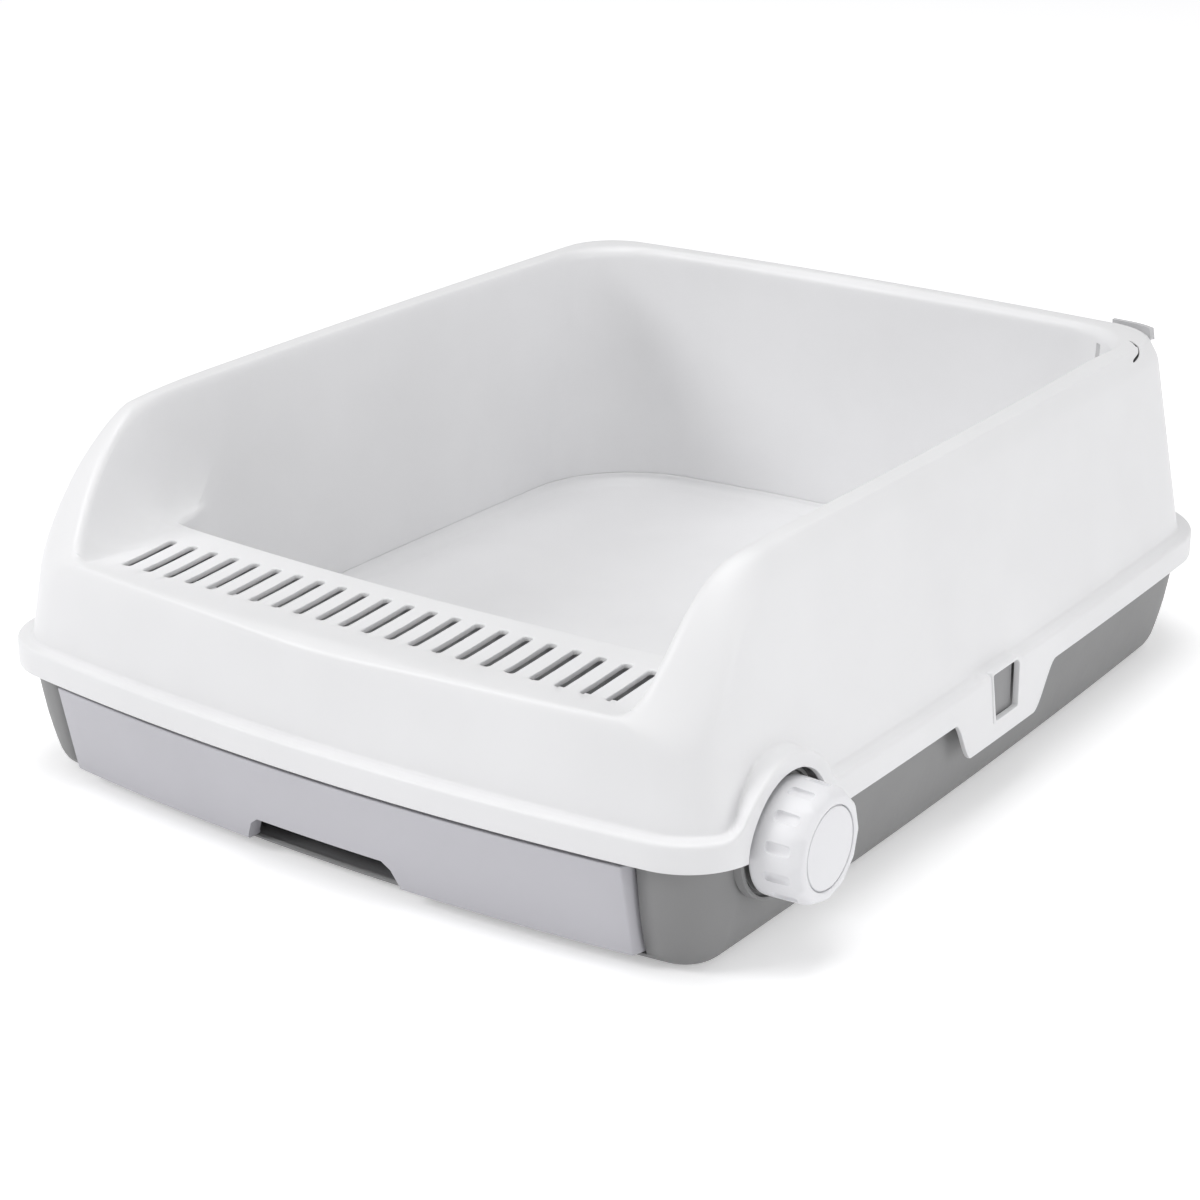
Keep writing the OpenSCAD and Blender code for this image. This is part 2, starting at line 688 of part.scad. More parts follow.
module knob() {
    color(white) difference() {
        along_x(knob_x, axis_y, axis_z) rotate_extrude()
            polygon([[0, 3], [9.5, 3], [9.5, 22], [knob_r - 3, 22], [knob_r - 3, 0], [knob_r - 0.4, 0],
                [knob_r, 1], [knob_r - 0.6, knob_l - 6], [knob_r - 1.4, knob_l - 2], [knob_r - 3, knob_l],
                [cap_r + 0.6, knob_l], [cap_r + 0.6, knob_l - 2.2], [0, knob_l - 2.2]]);
        along_x(knob_x + 2, axis_y, axis_z) cylinder(r = shaft_r, h = 18.4);
        along_x(knob_x + 10, axis_y, axis_z) cylinder(r = 2.3, h = 30, $fn = 24);
        along_x(knob_x + knob_l - 5, axis_y, axis_z) cylinder(r = 5, h = 10, $fn = 32);
        for (i = [0 : knob_grooves - 1]) along_x(knob_x + 8, axis_y, axis_z)
            rotate([0, 0, (i + 0.5) * 360 / knob_grooves]) translate([knob_r + 3.2, 0, 0])
                cylinder(r = 5, h = 13.5, $fn = 32);
    }
}

module knob_cap() {
    color(white) along_x(knob_x + knob_l - 2, axis_y, axis_z)
        rotate_extrude() polygon([[0, 0], [cap_r, 0], [cap_r, 1.2], [cap_r - 0.6, 1.8], [0, 1.8]]);
}

module knob_screw() {
    color("silver") {
        along_x(knob_x + knob_l - 4.9, axis_y, axis_z) cylinder(r = 4.2, h = 2.4, $fn = 32);
        along_x(knob_x + 5, axis_y, axis_z) cylinder(r = 2, h = knob_l - 9, $fn = 24);
    }
}

// ---- latches --------------------------------------------------------------
latch_x = 231.8;
latch_z = 44.5;
latch_pin_r = 1.6;

module latch(side) {
    color(mid_grey) scale([side, 1, 1]) {
        for (c = [[2.9, 27.2], [latch_pin_r, 34]]) translate([latch_x, lug_y - 1 - c[1] / 2, latch_z])
            rotate([-90, 0, 0]) cylinder(r = c[0], h = c[1], $fn = 32);
        translate([latch_x + 0.8, lug_y - 1, latch_z]) rotate([90, 0, 90]) linear_extrude(2.4)
            polygon([[-11.5, 0], [11.5, 0], [10.5, 32.5], [-15.5, 32.5]]);
    }
}

module latch_left() { latch(-1); }
module latch_right() { latch(1); }

// ---- scoop and its holder -------------------------------------------------
holder_top = 196.8;
holder_low = 157;
prong_low = 177.4;
tab_low = 189.4;
holder_gap = 1.5;
holder_thick = 3;
peg_x = 128;
peg_y = 268.6;
peg_z = 164;

// The hood's outer wall, gap millimetres outside its surface.
function wall_at(s, z, gap) =
    blend(hood_point(inset(wall_o, -gap), s), hood_point(inset(top_o, -gap), s),
        (z - flange_z) / (rim_h - flange_z));

function plate_ring(places, z) =
    concat([for (s = places) concat(wall_at(s, z, holder_gap + holder_thick), [z])],
        [for (i = [len(places) - 1 : -1 : 0]) concat(wall_at(places[i], z, holder_gap), [z])]);

module holder_slot() {
    translate([163.6, 236, prong_low]) cube([2.6, 44, 8.6]);
}

module scoop_holder() {
    places = concat(steps(3.42, 4, 9), steps(4, 4.34, 3), [4.34]);
    color(light_grey) {
        difference() {
            skin([for (z = [holder_low, holder_top]) plate_ring(places, z)]);
            // only the tab at the corner reaches the rim
            translate([60, 200, 190.6]) cube([106.4, 100, 20]);
            translate([192, 150, holder_low - 1]) cube([40, 150, tab_low - holder_low + 1]);
            translate([150, 150, holder_low - 1]) cube([80, 150, prong_low - holder_low + 1]);
        }
        translate([peg_x, peg_y, peg_z]) rotate([-90, 0, 0]) cylinder(r = 4, h = 14);
        // prong through the rim
        translate([163.8, 244.6, prong_low + 0.4]) cube([2.2, 20.4, 7.8]);
    }
}

scoop_y0 = 275;
scoop_lean = 12.6;
scoop_w = 88;
blade_in = scoop_w / 2 - 2.6;
blade_outline = [[-12, 62], [12, 62], [scoop_w / 2, 84], [scoop_w / 2, 150], [-scoop_w / 2, 150],
    [-scoop_w / 2, 84]];

module scoop() {
    translate([peg_x, scoop_y0, peg_z]) rotate([scoop_lean, 0, 0]) color(light_grey) difference() {
        union() {
            // handle
            rotate([-90, 0, 0]) linear_extrude(4)
                polygon([[-13, -16], [-9, -20], [9, -20], [13, -16], [10, 70], [-10, 70]]);
            // blade with raised rim
            rotate([-90, 0, 0]) linear_extrude(2.4) polygon(blade_outline);
            rotate([-90, 0, 0]) linear_extrude(11) difference() {
                polygon(blade_outline);
                polygon([[-10, 65], [10, 65], [blade_in, 85.6], [blade_in, 160], [-blade_in, 160],
                    [-blade_in, 85.6]]);
            }
        }
        translate([0, -5, 0]) rotate([-90, 0, 0]) cylinder(r = 5.2, h = 20);
        for (i = [-3 : 3]) translate([i * 11 - 3, -5, -142]) cube([6, 20, 52]);
    }
}

base_tray();
foot_front_left();
foot_front_right();
foot_rear_left();
foot_rear_right();
litter_pan();
hood();
drawer_tray();
drawer_front();
trough();
drive_spindle();
pivot_pin();
bush_left();
bush_right();
knob();
knob_cap();
knob_screw();
latch_left();
latch_right();
scoop_holder();
scoop();
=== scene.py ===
# %% [markdown]
# # Drawer litter box
# The box is built here as a dressed copy of its packed model. Each visible
# piece is made again as a fine mesh from the rule that shapes it, and gets a
# moulded plastic of its own. The packed model stays underneath for the joints,
# so a new piece only says which one it stands for and which body carries it.

# %% Load the packed frame
import math

import bmesh
import bpy
import numpy as np
from mathutils import Matrix, Vector


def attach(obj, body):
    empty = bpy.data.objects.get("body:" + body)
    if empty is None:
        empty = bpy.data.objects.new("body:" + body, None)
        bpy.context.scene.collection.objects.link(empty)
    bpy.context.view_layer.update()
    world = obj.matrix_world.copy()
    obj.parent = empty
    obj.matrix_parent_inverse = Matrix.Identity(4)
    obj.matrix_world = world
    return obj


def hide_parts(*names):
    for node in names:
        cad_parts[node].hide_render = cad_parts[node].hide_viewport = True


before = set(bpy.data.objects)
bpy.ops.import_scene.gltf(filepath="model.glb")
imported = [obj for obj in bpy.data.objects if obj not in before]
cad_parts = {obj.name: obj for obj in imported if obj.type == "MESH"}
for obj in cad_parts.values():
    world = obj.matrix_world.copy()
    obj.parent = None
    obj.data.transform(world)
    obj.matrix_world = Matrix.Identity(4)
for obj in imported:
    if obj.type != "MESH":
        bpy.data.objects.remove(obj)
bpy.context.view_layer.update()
scene = bpy.context.scene
MM = 0.001

# %% [markdown]
# ## Camera
# A product camera stands well back with a long lens, so that the sides stay
# nearly parallel. It is placed by its direction: how far it is turned round the
# box, and how far it looks down.

# %% Camera
CAMERA_AT = Vector((0.83397, -1.22034, 0.64381))
TURN, DIP = math.radians(35.123), math.radians(21.473)
LENS = 82.783
look = Vector((-math.sin(TURN) * math.cos(DIP), math.cos(TURN) * math.cos(DIP), -math.sin(DIP)))
camera_data = bpy.data.cameras.new("product_camera")
camera_data.sensor_width = 36.0
camera_data.lens = LENS
camera_data.clip_end = 50.0
camera = bpy.data.objects.new("product_camera", camera_data)
scene.collection.objects.link(camera)
camera.location = CAMERA_AT
camera.rotation_euler = look.to_track_quat("-Z", "Y").to_euler()
scene.camera = camera
scene.view_settings.view_transform = "Standard"
print("camera looks along", [round(v, 3) for v in look])

# %% [markdown]
# ## Shader maths in plain expressions
# A node tree is easier to read as a sum. The small class below wraps one
# output socket, and its operators add Math nodes, so `1 - mask * 0.2` works.
# Every other node comes from one method that takes the type, the settings and
# the values of the sockets.

# %% Socket wrapper
class Value:
    """An output socket with arithmetic: each operator adds a Math node."""

    def __init__(self, graph, socket):
        self.graph = graph
        self.socket = socket

    def _math(self, operation, a, b):
        return self.graph.node("ShaderNodeMath", {"operation": operation}, {0: a, 1: b})

    def __add__(self, other):
        return self._math("ADD", self, other)

    def __radd__(self, other):
        return self._math("ADD", other, self)

    def __sub__(self, other):
        return self._math("SUBTRACT", self, other)

    def __rsub__(self, other):
        return self._math("SUBTRACT", other, self)

    def __mul__(self, other):
        return self._math("MULTIPLY", self, other)

    def __rmul__(self, other):
        return self._math("MULTIPLY", other, self)


class Graph:
    """The nodes of one material or world."""

    def __init__(self, owner):
        self.owner = owner
        owner.use_nodes = True
        self.tree = owner.node_tree
        self.tree.nodes.clear()

    def node(self, kind, settings=None, sockets=None, out=0):
        made = self.tree.nodes.new(kind)
        for key, value in (settings or {}).items():
            if key == "stops":
                ramp = made.color_ramp
                ramp.elements[0].position, ramp.elements[0].color = value[0]
                ramp.elements[1].position, ramp.elements[1].color = value[-1]
                for position, colour in value[1:-1]:
                    ramp.elements.new(position).color = colour
            else:
                setattr(made, key, value)
        for key, value in (sockets or {}).items():
            target = made.inputs[key]
            if isinstance(value, Value):
                self.tree.links.new(value.socket, target)
            elif value is not None:
                target.default_value = value
        return Value(self, made.outputs[out]) if len(made.outputs) else None


print("reflected socket operators", [name for name in vars(Value) if name.startswith("__r")])

# %% [markdown]
# ## Moulded plastic
# Injection-moulded polypropylene isn't one flat colour. Its skin copies the
# mould's fine spark texture, the colour drifts a little with the flow of the
# melt, and the gloss is patchy where hands and packing have rubbed it. So one
# recipe has three scales: a slow drift in colour, a patchy roughness, and two
# fine layers of bump.

# %% Plastic recipe
PLASTIC_IOR, PEEL_DEPTH = 1.49, 0.00006
PATCHY, SPECKLED = 0.16, 0.10
# Scale, detail and roughness of the noise for the slow drift, the gloss patches and the peel.
SLOW, PATCH, PEEL = (7.0, 3.0, 0.55), (38.0, 5.0, 0.6), (210.0, 2.0, 0.5)


def principled(g, sockets):
    surface = g.node("ShaderNodeBsdfPrincipled", {}, sockets)
    g.node("ShaderNodeOutputMaterial", {}, {"Surface": surface})
    return g.owner


def plastic(name, colour, rough, drift=0.02, grain=1500.0, grain_depth=0.00002):
    g = Graph(bpy.data.materials.new(name))
    where = g.node("ShaderNodeTexCoord", out="Object")
    slow, patch, fine, peel = [
        g.node("ShaderNodeTexNoise", {},
               {"Vector": where, "Scale": scale, "Detail": detail, "Roughness": mix})
        for scale, detail, mix in (SLOW, PATCH, (grain, 2.0, 0.5), PEEL)]
    darker = tuple(c * (1 - drift * 2) for c in colour) + (1.0,)
    lighter = tuple(min(c * (1 + drift), 1.0) for c in colour) + (1.0,)
    tint = g.node("ShaderNodeValToRGB", {"stops": [(0.3, darker), (0.7, lighter)]}, {"Fac": slow})
    roughness = (patch - 0.5) * PATCHY + rough + (fine - 0.5) * SPECKLED
    bump = g.node("ShaderNodeBump", {}, {"Height": fine, "Strength": 1.0, "Distance": grain_depth})
    bump = g.node("ShaderNodeBump", {},
                  {"Height": peel, "Strength": 1.0, "Distance": PEEL_DEPTH, "Normal": bump})
    return principled(g, {"Base Color": tint, "Roughness": roughness, "Normal": bump,
                          "IOR": PLASTIC_IOR})


# Each finish: its colour and roughness, how far its colour drifts, and its grain's scale and depth.
FINISHES = {
    "hood_white": ((0.86, 0.86, 0.87), 0.40),
    "pan_white": ((0.85, 0.85, 0.86), 0.44),
    "base_grey": ((0.250, 0.250, 0.251), 0.50, 0.03),
    "drawer_grey": ((0.560, 0.555, 0.590), 0.48),
    # The trough is painted dark grey so that the view down the ledge's slots looks shaded: painted shade.
    "trough_grey": ((0.25, 0.25, 0.25), 0.5),
    "bush_white": ((0.82, 0.82, 0.83), 0.45),
    "spindle_grey": ((0.25, 0.25, 0.25), 0.5),
    "knob_white": ((0.84, 0.84, 0.86), 0.38),
    "latch_grey": ((0.30, 0.30, 0.305), 0.46),
    "holder_grey": ((0.62, 0.62, 0.63), 0.46),
    "scoop_grey": ((0.62, 0.62, 0.63), 0.46),
    # The dark rubber of the feet; it also paints the shade in the rim's back groove.
    "foot_rubber": ((0.030, 0.030, 0.032), 0.75, 0.02, 900.0, 0.00008),
}
MAT = {name: plastic(name, *finish) for name, finish in FINISHES.items()}


def plated_steel():
    g = Graph(bpy.data.materials.new("screw_steel"))
    where = g.node("ShaderNodeTexCoord", out="Object")
    brush = g.node("ShaderNodeTexNoise", {}, {"Vector": where, "Scale": 900.0, "Detail": 3.0})
    bump = g.node("ShaderNodeBump", {}, {"Height": brush, "Strength": 0.6, "Distance": 0.00001})
    return principled(g, {"Base Color": (0.6, 0.6, 0.62, 1), "Metallic": 1.0,
                          "Roughness": brush * 0.2 + 0.25, "Normal": bump})


MAT["screw_steel"] = plated_steel()
print("materials", sorted(MAT))

# %% [markdown]
# ## Small mesh tools
# Every shell in this box is a loft: a section is drawn, changed a little from
# place to place, and the sections are joined into quads. `lofted` does that for
# a ring or a bar, and `vessel` for a bowl with a floor inside and outside.
# `rounded` swaps each sharp corner of a section for a short curve, always with
# the same number of points, so that neighbouring sections still match up.

# %% Mesh tools
def norm(v):
    return math.sqrt(float(np.dot(v, v)))


def rounded(path, closed=True):
    """path holds (point, radius, points on the corner). A radius of 0 keeps the point."""
    made = []
    count = len(path)
    for i, (p, radius, steps) in enumerate(path):
        if radius <= 0 or (not closed and i in (0, count - 1)):
            made.append(p)
            continue
        before, after = path[i - 1][0] - p, path[(i + 1) % count][0] - p
        a = p + before / max(norm(before), 1e-9) * min(radius, norm(before) * 0.48)
        b = p + after / max(norm(after), 1e-9) * min(radius, norm(after) * 0.48)
        for k in range(steps):
            t = k / (steps - 1)
            made.append(a * (1 - t) ** 2 + p * 2 * t * (1 - t) + b * t * t)
    return made


def piece_from(name, points, faces, material, sharp=35.0):
    mesh = bpy.data.meshes.new(name)
    mesh.from_pydata([tuple(np.asarray(p, float) * MM) for p in points], [], faces)
    mesh.validate()
    made = bpy.data.objects.new(name, mesh)
    scene.collection.objects.link(made)
    mesh.materials.append(material)
    finish_mesh(made, sharp)
    return made


def finish_mesh(made, sharp=35.0, merge=0.000002):
    """Merges doubles, turns the faces outwards and smooths all but the sharp edges."""
    work = bmesh.new()
    work.from_mesh(made.data)
    bmesh.ops.remove_doubles(work, verts=work.verts, dist=merge)
    bmesh.ops.recalc_face_normals(work, faces=work.faces)
    work.to_mesh(made.data)
    work.free()
    made.data.shade_smooth()
    made.data.set_sharp_from_angle(angle=math.radians(sharp))


def loft(rows, ends):
    """Faces that join equal rows of points. ends is loop, for a ring of sections, caps or open."""
    n, m = len(rows[0]), len(rows)
    points = [p for row in rows for p in row]
    faces = []
    for j in range(m if ends == "loop" else m - 1):
        k = (j + 1) % m
        faces += [(j * n + i, j * n + (i + 1) % n, k * n + (i + 1) % n, k * n + i) for i in range(n)]
    if ends == "caps":
        faces += [tuple(range(n)), tuple((m - 1) * n + i for i in reversed(range(n)))]
    return points, faces


def lofted(name, rows, material, sharp=30, ends="caps"):
    return piece_from(name, *loft(rows, ends), MAT[material], sharp)


def vessel(name, rows, material):
    """A bowl from stacked rings, closed by its first and its last ring."""
    points, faces = loft(rows, "open")
    n = len(rows[0])
    faces += [tuple(reversed(range(n))), tuple((len(rows) - 1) * n + i for i in range(n))]
    return piece_from(name, points, faces, MAT[material], 40)


def paint(made, name):
    made.data.materials.clear()
    made.data.materials.append(MAT[name])


def apply_modifiers(made):
    graph = bpy.context.evaluated_depsgraph_get()
    graph.update()
    mesh = bpy.data.meshes.new_from_object(made.evaluated_get(graph), depsgraph=graph)
    old = made.data
    made.modifiers.clear()
    made.data = mesh
    mesh.name = made.name
    bpy.data.meshes.remove(old)
    return made


def cut(made, cutter, operation="DIFFERENCE"):
    step = made.modifiers.new("cut", "BOOLEAN")
    step.operation = operation
    step.solver = "MANIFOLD"
    step.object = cutter
    apply_modifiers(made)
    bpy.data.objects.remove(cutter)
    return made


def prism(name, outline, axis, low, high):
    """A closed prism over (u, v) points. Axis X takes (y, z), Y takes (x, z) and Z takes (x, y)."""
    place = "XYZ".index(axis)
    rows = [[np.insert(np.array(p, float), place, w) for p in outline] for w in (low, high)]
    return lofted(name, rows, "hood_white")


def box_cutter(name, x, y, z):
    """A plain box between two values of x, of y and of z, only for cutting and joining."""
    return prism(name, [(x[0], y[0]), (x[1], y[0]), (x[1], y[1]), (x[0], y[1])], "Z", *z)


def lathe(name, section, centre, material, turns, sharp):
    """Turns (radius, x) points round an axis along X through the centre (x, y, z)."""
    x0, y0, z0 = centre
    rows = []
    for k in range(turns):
        a = 2 * math.pi * k / turns
        rows.append([(x0 + x, y0 + r * math.cos(a), z0 + r * math.sin(a)) for r, x in section])
    return lofted(name, rows, material, sharp, "loop")


print("mesh tools: loft, vessel, prism, lathe, cut")

# %% [markdown]
# ## The plan outline
# Seen from above, each level of the box is the same kind of outline: a
# rectangle with round corners whose sides bow outwards a little, as large
# mouldings do so that they don't look sunken. A place on the right half is
# numbered 0 to 5: front, front corner, side, back corner, back.

# %% Outline
class Outline:
    def __init__(self, half, front, back, front_r, back_r, front_bow, side_bow, back_bow):
        self.half, self.front, self.back = half, front, back
        self.front_r, self.back_r = front_r, back_r
        self.bows = (front_bow, side_bow, back_bow)
        self.fl = np.array([front_r - half, front + front_r])
        self.fr = np.array([half - front_r, front + front_r])
        self.br = np.array([half - back_r, back - back_r])
        self.bl = np.array([back_r - half, back - back_r])

    def inset(self, d):
        return Outline(self.half - d, self.front + d, self.back - d,
                       max(self.front_r - d, 1), max(self.back_r - d, 1), *self.bows)

    @staticmethod
    def side(p, q, bow, r1, r2, t):
        """Point and outward direction on a bowed side between two corner circles."""
        span = norm(q - p)
        u = (q - p) / span
        k = (r1 - r2) / span
        n = np.array([u[1], -u[0]]) * math.sqrt(1 - k * k) + u * k
        m = n + np.array([n[1], -n[0]]) * 4 * bow * (1 - 2 * t) / span
        m = m / norm(m)
        return p + (q - p) * t + n * 4 * bow * t * (1 - t) + m * (r1 + (r2 - r1) * t), m

    @staticmethod
    def corner(c, r, n0, n1, t):
        a0, a1 = math.atan2(n0[1], n0[0]), math.atan2(n1[1], n1[0])
        a = a0 + (a1 - a0) * t
        return c + r * np.array([math.cos(a), math.sin(a)])

    def front_side(self, t):
        return self.side(self.fl, self.fr, self.bows[0], self.front_r, self.front_r, t)

    def flank(self, t):
        return self.side(self.fr, self.br, self.bows[1], self.front_r, self.back_r, t)

    def rear(self, t):
        return self.side(self.br, self.bl, self.bows[2], self.back_r, self.back_r, t)

    def at(self, s):
        if s <= 1:
            return self.front_side(0.5 + s / 2)[0]
        if s <= 2:
            return self.corner(self.fr, self.front_r, self.front_side(1)[1], self.flank(0)[1], s - 1)
        if s <= 3:
            return self.flank(s - 2)[0]
        if s <= 4:
            return self.corner(self.br, self.back_r, self.flank(1)[1], self.rear(0)[1], s - 3)
        return self.rear((s - 4) / 2)[0]


def steps(a, b, n):
    return [a + (b - a) * i / n for i in range(n)]


def blend(a, b, t):
    return a + (b - a) * t


def full_ring(places, point_at):
    """Right half from the front middle to the back middle, then the left half mirrored."""
    half = [np.asarray(point_at(s), float) for s in places]
    return half + [p * FLIP for p in reversed(half[1:-1])]


FLIP = np.array([-1.0, 1.0, 1.0])
VESSEL_PLACES = [s for i, n in enumerate((14, 16, 18, 20, 10)) for s in steps(i, i + 1, n)] + [5]
SKIRT = Outline(234.8, -280.4, 289.2, 42, 58, 12.6, 3.8, 3.8)
WALL = SKIRT.inset(8.5)
TOP = Outline(207, -266, 258.5, 40, 32, 10, 3.2, 6.3)
BASE = SKIRT.inset(8)
print("skirt front middle", SKIRT.at(0).round(1), "side", SKIRT.at(2.5).round(1))

# %% [markdown]
# ## Rules of the hood
# The hood is one moulding: a skirt, a leaning outer wall, a broad rolled rim,
# an inner wall, and at the front a slotted ledge to step on. The rim is high
# round the back and sinks to the ledge at the front along an S-curve. All of
# that is a few functions of the place on the outline, so the whole shell can be
# lofted in one go and every change of height stays smooth.

# %% Hood rules
# Heights: the skirt's foot and top, the rim, the ledge, the ledge's skirt and the inner wall's foot.
SKIRT_Z, FLANGE_Z, RIM_H, LEDGE_H, LEDGE_SKIRT_Z, INNER_Z = 63.5, 78.5, 196.5, 130.0, 100.0, 44.15
# The ledge's front lip, the rim's inner edge, and the curve that joins them.
LIP_Y, LIP_BOW, LIP_X = -268.0, 10.0, 164.0
RIM_IN_W, RIM_BACK_Y, RIM_BACK_R, SIDE_BOW, BACK_BOW = 194.0, 243.65, 76.0, 2.9, 6.3
SOFT, CURVE_L, RISE_Y, RISE_POWER, CORNER_POWER = 2.2, 75.0, 90.5, 0.572, 0.89
CURVE_W = RIM_IN_W - SOFT - LIP_X
CORNER_END_Y, FLANK_L = LIP_Y + CURVE_L, 424.3
# The ledge's rear edge ends at GUSSET_END. Above the ledge the wing is solid as far as CAVITY_FROM.
PAN_CLEAR_Y, GUSSET_END, CAVITY_FROM, GUSSET_L = -176.0, 2.12, 2.28, 75.0
LEDGE_BACK_Y, LEDGE_BACK_BOW, LEDGE_BACK_X = -190.0, 7.0, 172.0
FILLET_R, RIM_SOFT, SKIN, DRAFT = 34.0, 7.0, 2.6, 0.8
# Where along the outline the rim turns flat, the ledge's rear edge turns rounder, and the wall
# takes over from the cove; each with the length of the change.
CROWN_FROM, CROWN_L, ROUND_FROM, ROUND_L, LEAN_FROM, LEAN_L = 1.75, 0.45, 1.97, 0.1, 2.14, 0.14
AXIS_Y, AXIS_Z = -214.0, 65.0
SWELL, SWELL_Y, SWELL_L = 3.4, -220.6, 50.0
INNER_FOOT = Outline(RIM_IN_W + DRAFT, -200, RIM_BACK_Y + DRAFT, 20, RIM_BACK_R + DRAFT,
                     0, SIDE_BOW, BACK_BOW)
RIM_EDGE = Outline(RIM_IN_W - SOFT, -200, RIM_BACK_Y - SOFT, 20, 46, 0, SIDE_BOW, BACK_BOW)


def quintic(t):
    return t * t * t * (10 - 15 * t + 6 * t * t)


def soft_step(t):
    t = min(max(t, 0.0), 1.0)
    return t * t * (3 - 2 * t)


def rim_z(y):
    return LEDGE_H + (RIM_H - LEDGE_H) * quintic(min(max((y - LIP_Y) / RISE_Y, 0), 1) ** RISE_POWER)


def hood_at(o, s):
    """An outline whose front corner runs on to where the rim's corner ends."""
    if s <= 1 or s > 3:
        return o.at(s)
    end_x = o.half + 0.3 * o.bows[1]
    if s <= 2:
        arc, straight = o.front_r * math.pi / 2, CORNER_END_Y - (o.front + o.front_r)
        gone = (s - 1) * (arc + straight)
        if gone <= arc:
            return o.at(1 + gone / arc)
        f = (gone - arc) / straight
        start = o.at(2)
        return np.array([blend(start[0], end_x, f), blend(start[1], CORNER_END_Y, f)])
    t = s - 2
    return np.array([blend(end_x, o.at(3)[0], t) + o.bows[1] * 3 * t * (1 - t),
                     blend(CORNER_END_Y, o.back - o.back_r, t)])


def rim_bow(s):
    return SIDE_BOW * 4 * (s - 2) * (3 - s)


def side_y(s):
    if s <= GUSSET_END:
        return blend(CORNER_END_Y, PAN_CLEAR_Y, (s - 2) / (GUSSET_END - 2))
    return blend(PAN_CLEAR_Y, RIM_BACK_Y - RIM_BACK_R, (s - GUSSET_END) / (3 - GUSSET_END))


def swell(y):
    """How much wider the rim is at the wing, where it comes down to the ledge."""
    return SWELL * soft_step(1 - abs(y - SWELL_Y) / SWELL_L)


def rim_at(s):
    if s <= 1:
        return np.array([LIP_X * s, LIP_Y - LIP_BOW * (1 - s * s)])
    if s <= 2:
        a = math.pi / 2 * (s - 1)
        y = LIP_Y + CURVE_L * (1 - math.cos(a))
        return np.array([LIP_X + CURVE_W * math.sin(a) ** CORNER_POWER - swell(y), y])
    if s <= 3:
        return np.array([RIM_EDGE.half + rim_bow(s) - swell(side_y(s)), side_y(s)])
    return RIM_EDGE.at(s)


def inner_wall_x(s, y):
    """The inner wall comes in towards the ledge's end and fades out behind it."""
    full = RIM_IN_W + DRAFT + rim_bow(s)
    return full - (RIM_IN_W + DRAFT - LEDGE_BACK_X) * (1 - soft_step((y - LEDGE_BACK_Y) / GUSSET_L))


def ledge_at(s):
    """Where the inner surface meets the ledge's level: its rear edge, then the inner wall."""
    if s <= 2:
        x = LEDGE_BACK_X * (s * 0.78 if s <= 1 else 0.78 + 0.22 * (s - 1))
        return np.array([x, LEDGE_BACK_Y - LEDGE_BACK_BOW * (1 - (x / LEDGE_BACK_X) ** 2)])
    if s <= GUSSET_END:
        w = inner_wall_x(s, PAN_CLEAR_Y)
        a = math.pi / 2 * (s - 2) / (GUSSET_END - 2)
        return np.array([LEDGE_BACK_X + (w - LEDGE_BACK_X) * math.sin(a),
                         PAN_CLEAR_Y - (PAN_CLEAR_Y - LEDGE_BACK_Y) * math.cos(a)])
    if s <= 3:
        return np.array([inner_wall_x(s, side_y(s)), side_y(s)])
    return INNER_FOOT.at(s)


print("rim height at the wing", round(rim_z(SWELL_Y), 1), "and at the back", round(rim_z(0.0), 1))

# %% [markdown]
# ## Edges of the skirt
# The skirt's top edge climbs over the side knob in a round arch that runs out
# into the level edge with soft hollows. Its lower edge drops to a lug in the
# middle of each side, where the latch's window is. Both are heights that depend
# only on how far back the place is.

# %% Skirt edges
ARCH_R, ARCH_BLEND, LUG_Z = 42.0, 13.0, 39.0
ARCH_C = math.sqrt((ARCH_R + ARCH_BLEND) ** 2 - (FLANGE_Z - AXIS_Z + ARCH_BLEND) ** 2)
ARCH_T = ARCH_C * ARCH_R / (ARCH_R + ARCH_BLEND)


def skirt_top(y, right):
    z = FLANGE_Z + 1.6 * soft_step((y + 24) / 5) * soft_step((18 - y) / 5)
    d = abs(y - AXIS_Y)
    if right and d < ARCH_T:
        z = AXIS_Z + math.sqrt(ARCH_R ** 2 - d * d)
    elif right and d < ARCH_C:
        z = FLANGE_Z + ARCH_BLEND - math.sqrt(ARCH_BLEND ** 2 - (ARCH_C - d) ** 2)
    return z


def skirt_foot(y):
    return SKIRT_Z - (SKIRT_Z - LUG_Z) * soft_step((y + 55) / 19) * soft_step((60 - y) / 25)


def ledge_dip(y):
    """The ledge sinks a little behind its front lip and rises again to the rear."""
    return 2.8 * soft_step((y + 270) / 20) * (1 - soft_step((y + 246) / 52))


print("arch reaches", round(ARCH_C, 1), "mm each way; its top is", round(skirt_top(AXIS_Y, True), 1))

# %% [markdown]
# ## One section of the hood
# A section starts at the skirt's foot, goes up and in to the wall, over the rim,
# down the inner wall to the ledge or the pan, and back inside the moulding. At
# the front the rim is a Bezier curve, because its shoulder turns slowly from the
# wall and quickly at the inner edge. Round the sides and the back it is a flat
# band with a bevel outside it. Both are sampled with the same number of points,
# so one can fade into the other round the front corner.

# %% Rim of the hood
def bezier(p0, p1, p2, p3, t):
    return p0 * (1 - t) ** 3 + p1 * 3 * t * (1 - t) ** 2 + p2 * 3 * t * t * (1 - t) + p3 * t ** 3


def rim_path(start, a, k, c, e, crown):
    """Points from the wall to just before the rim's inner edge; crown 0 is round, 1 is flat."""
    h1, h2 = blend(a, k, 0.62), blend(c, k, 0.62)
    soft = [start] + [bezier(a, h1, h2, c, t) for t in np.linspace(0, 0.94, 15)]
    flat = rounded([(start, 0, 1), (a, 4.4, 6), (e, 3.2, 8), (blend(e, c, 0.7), 0, 1)], closed=False)
    return [blend(p, q, crown) for p, q in zip(soft, flat)]


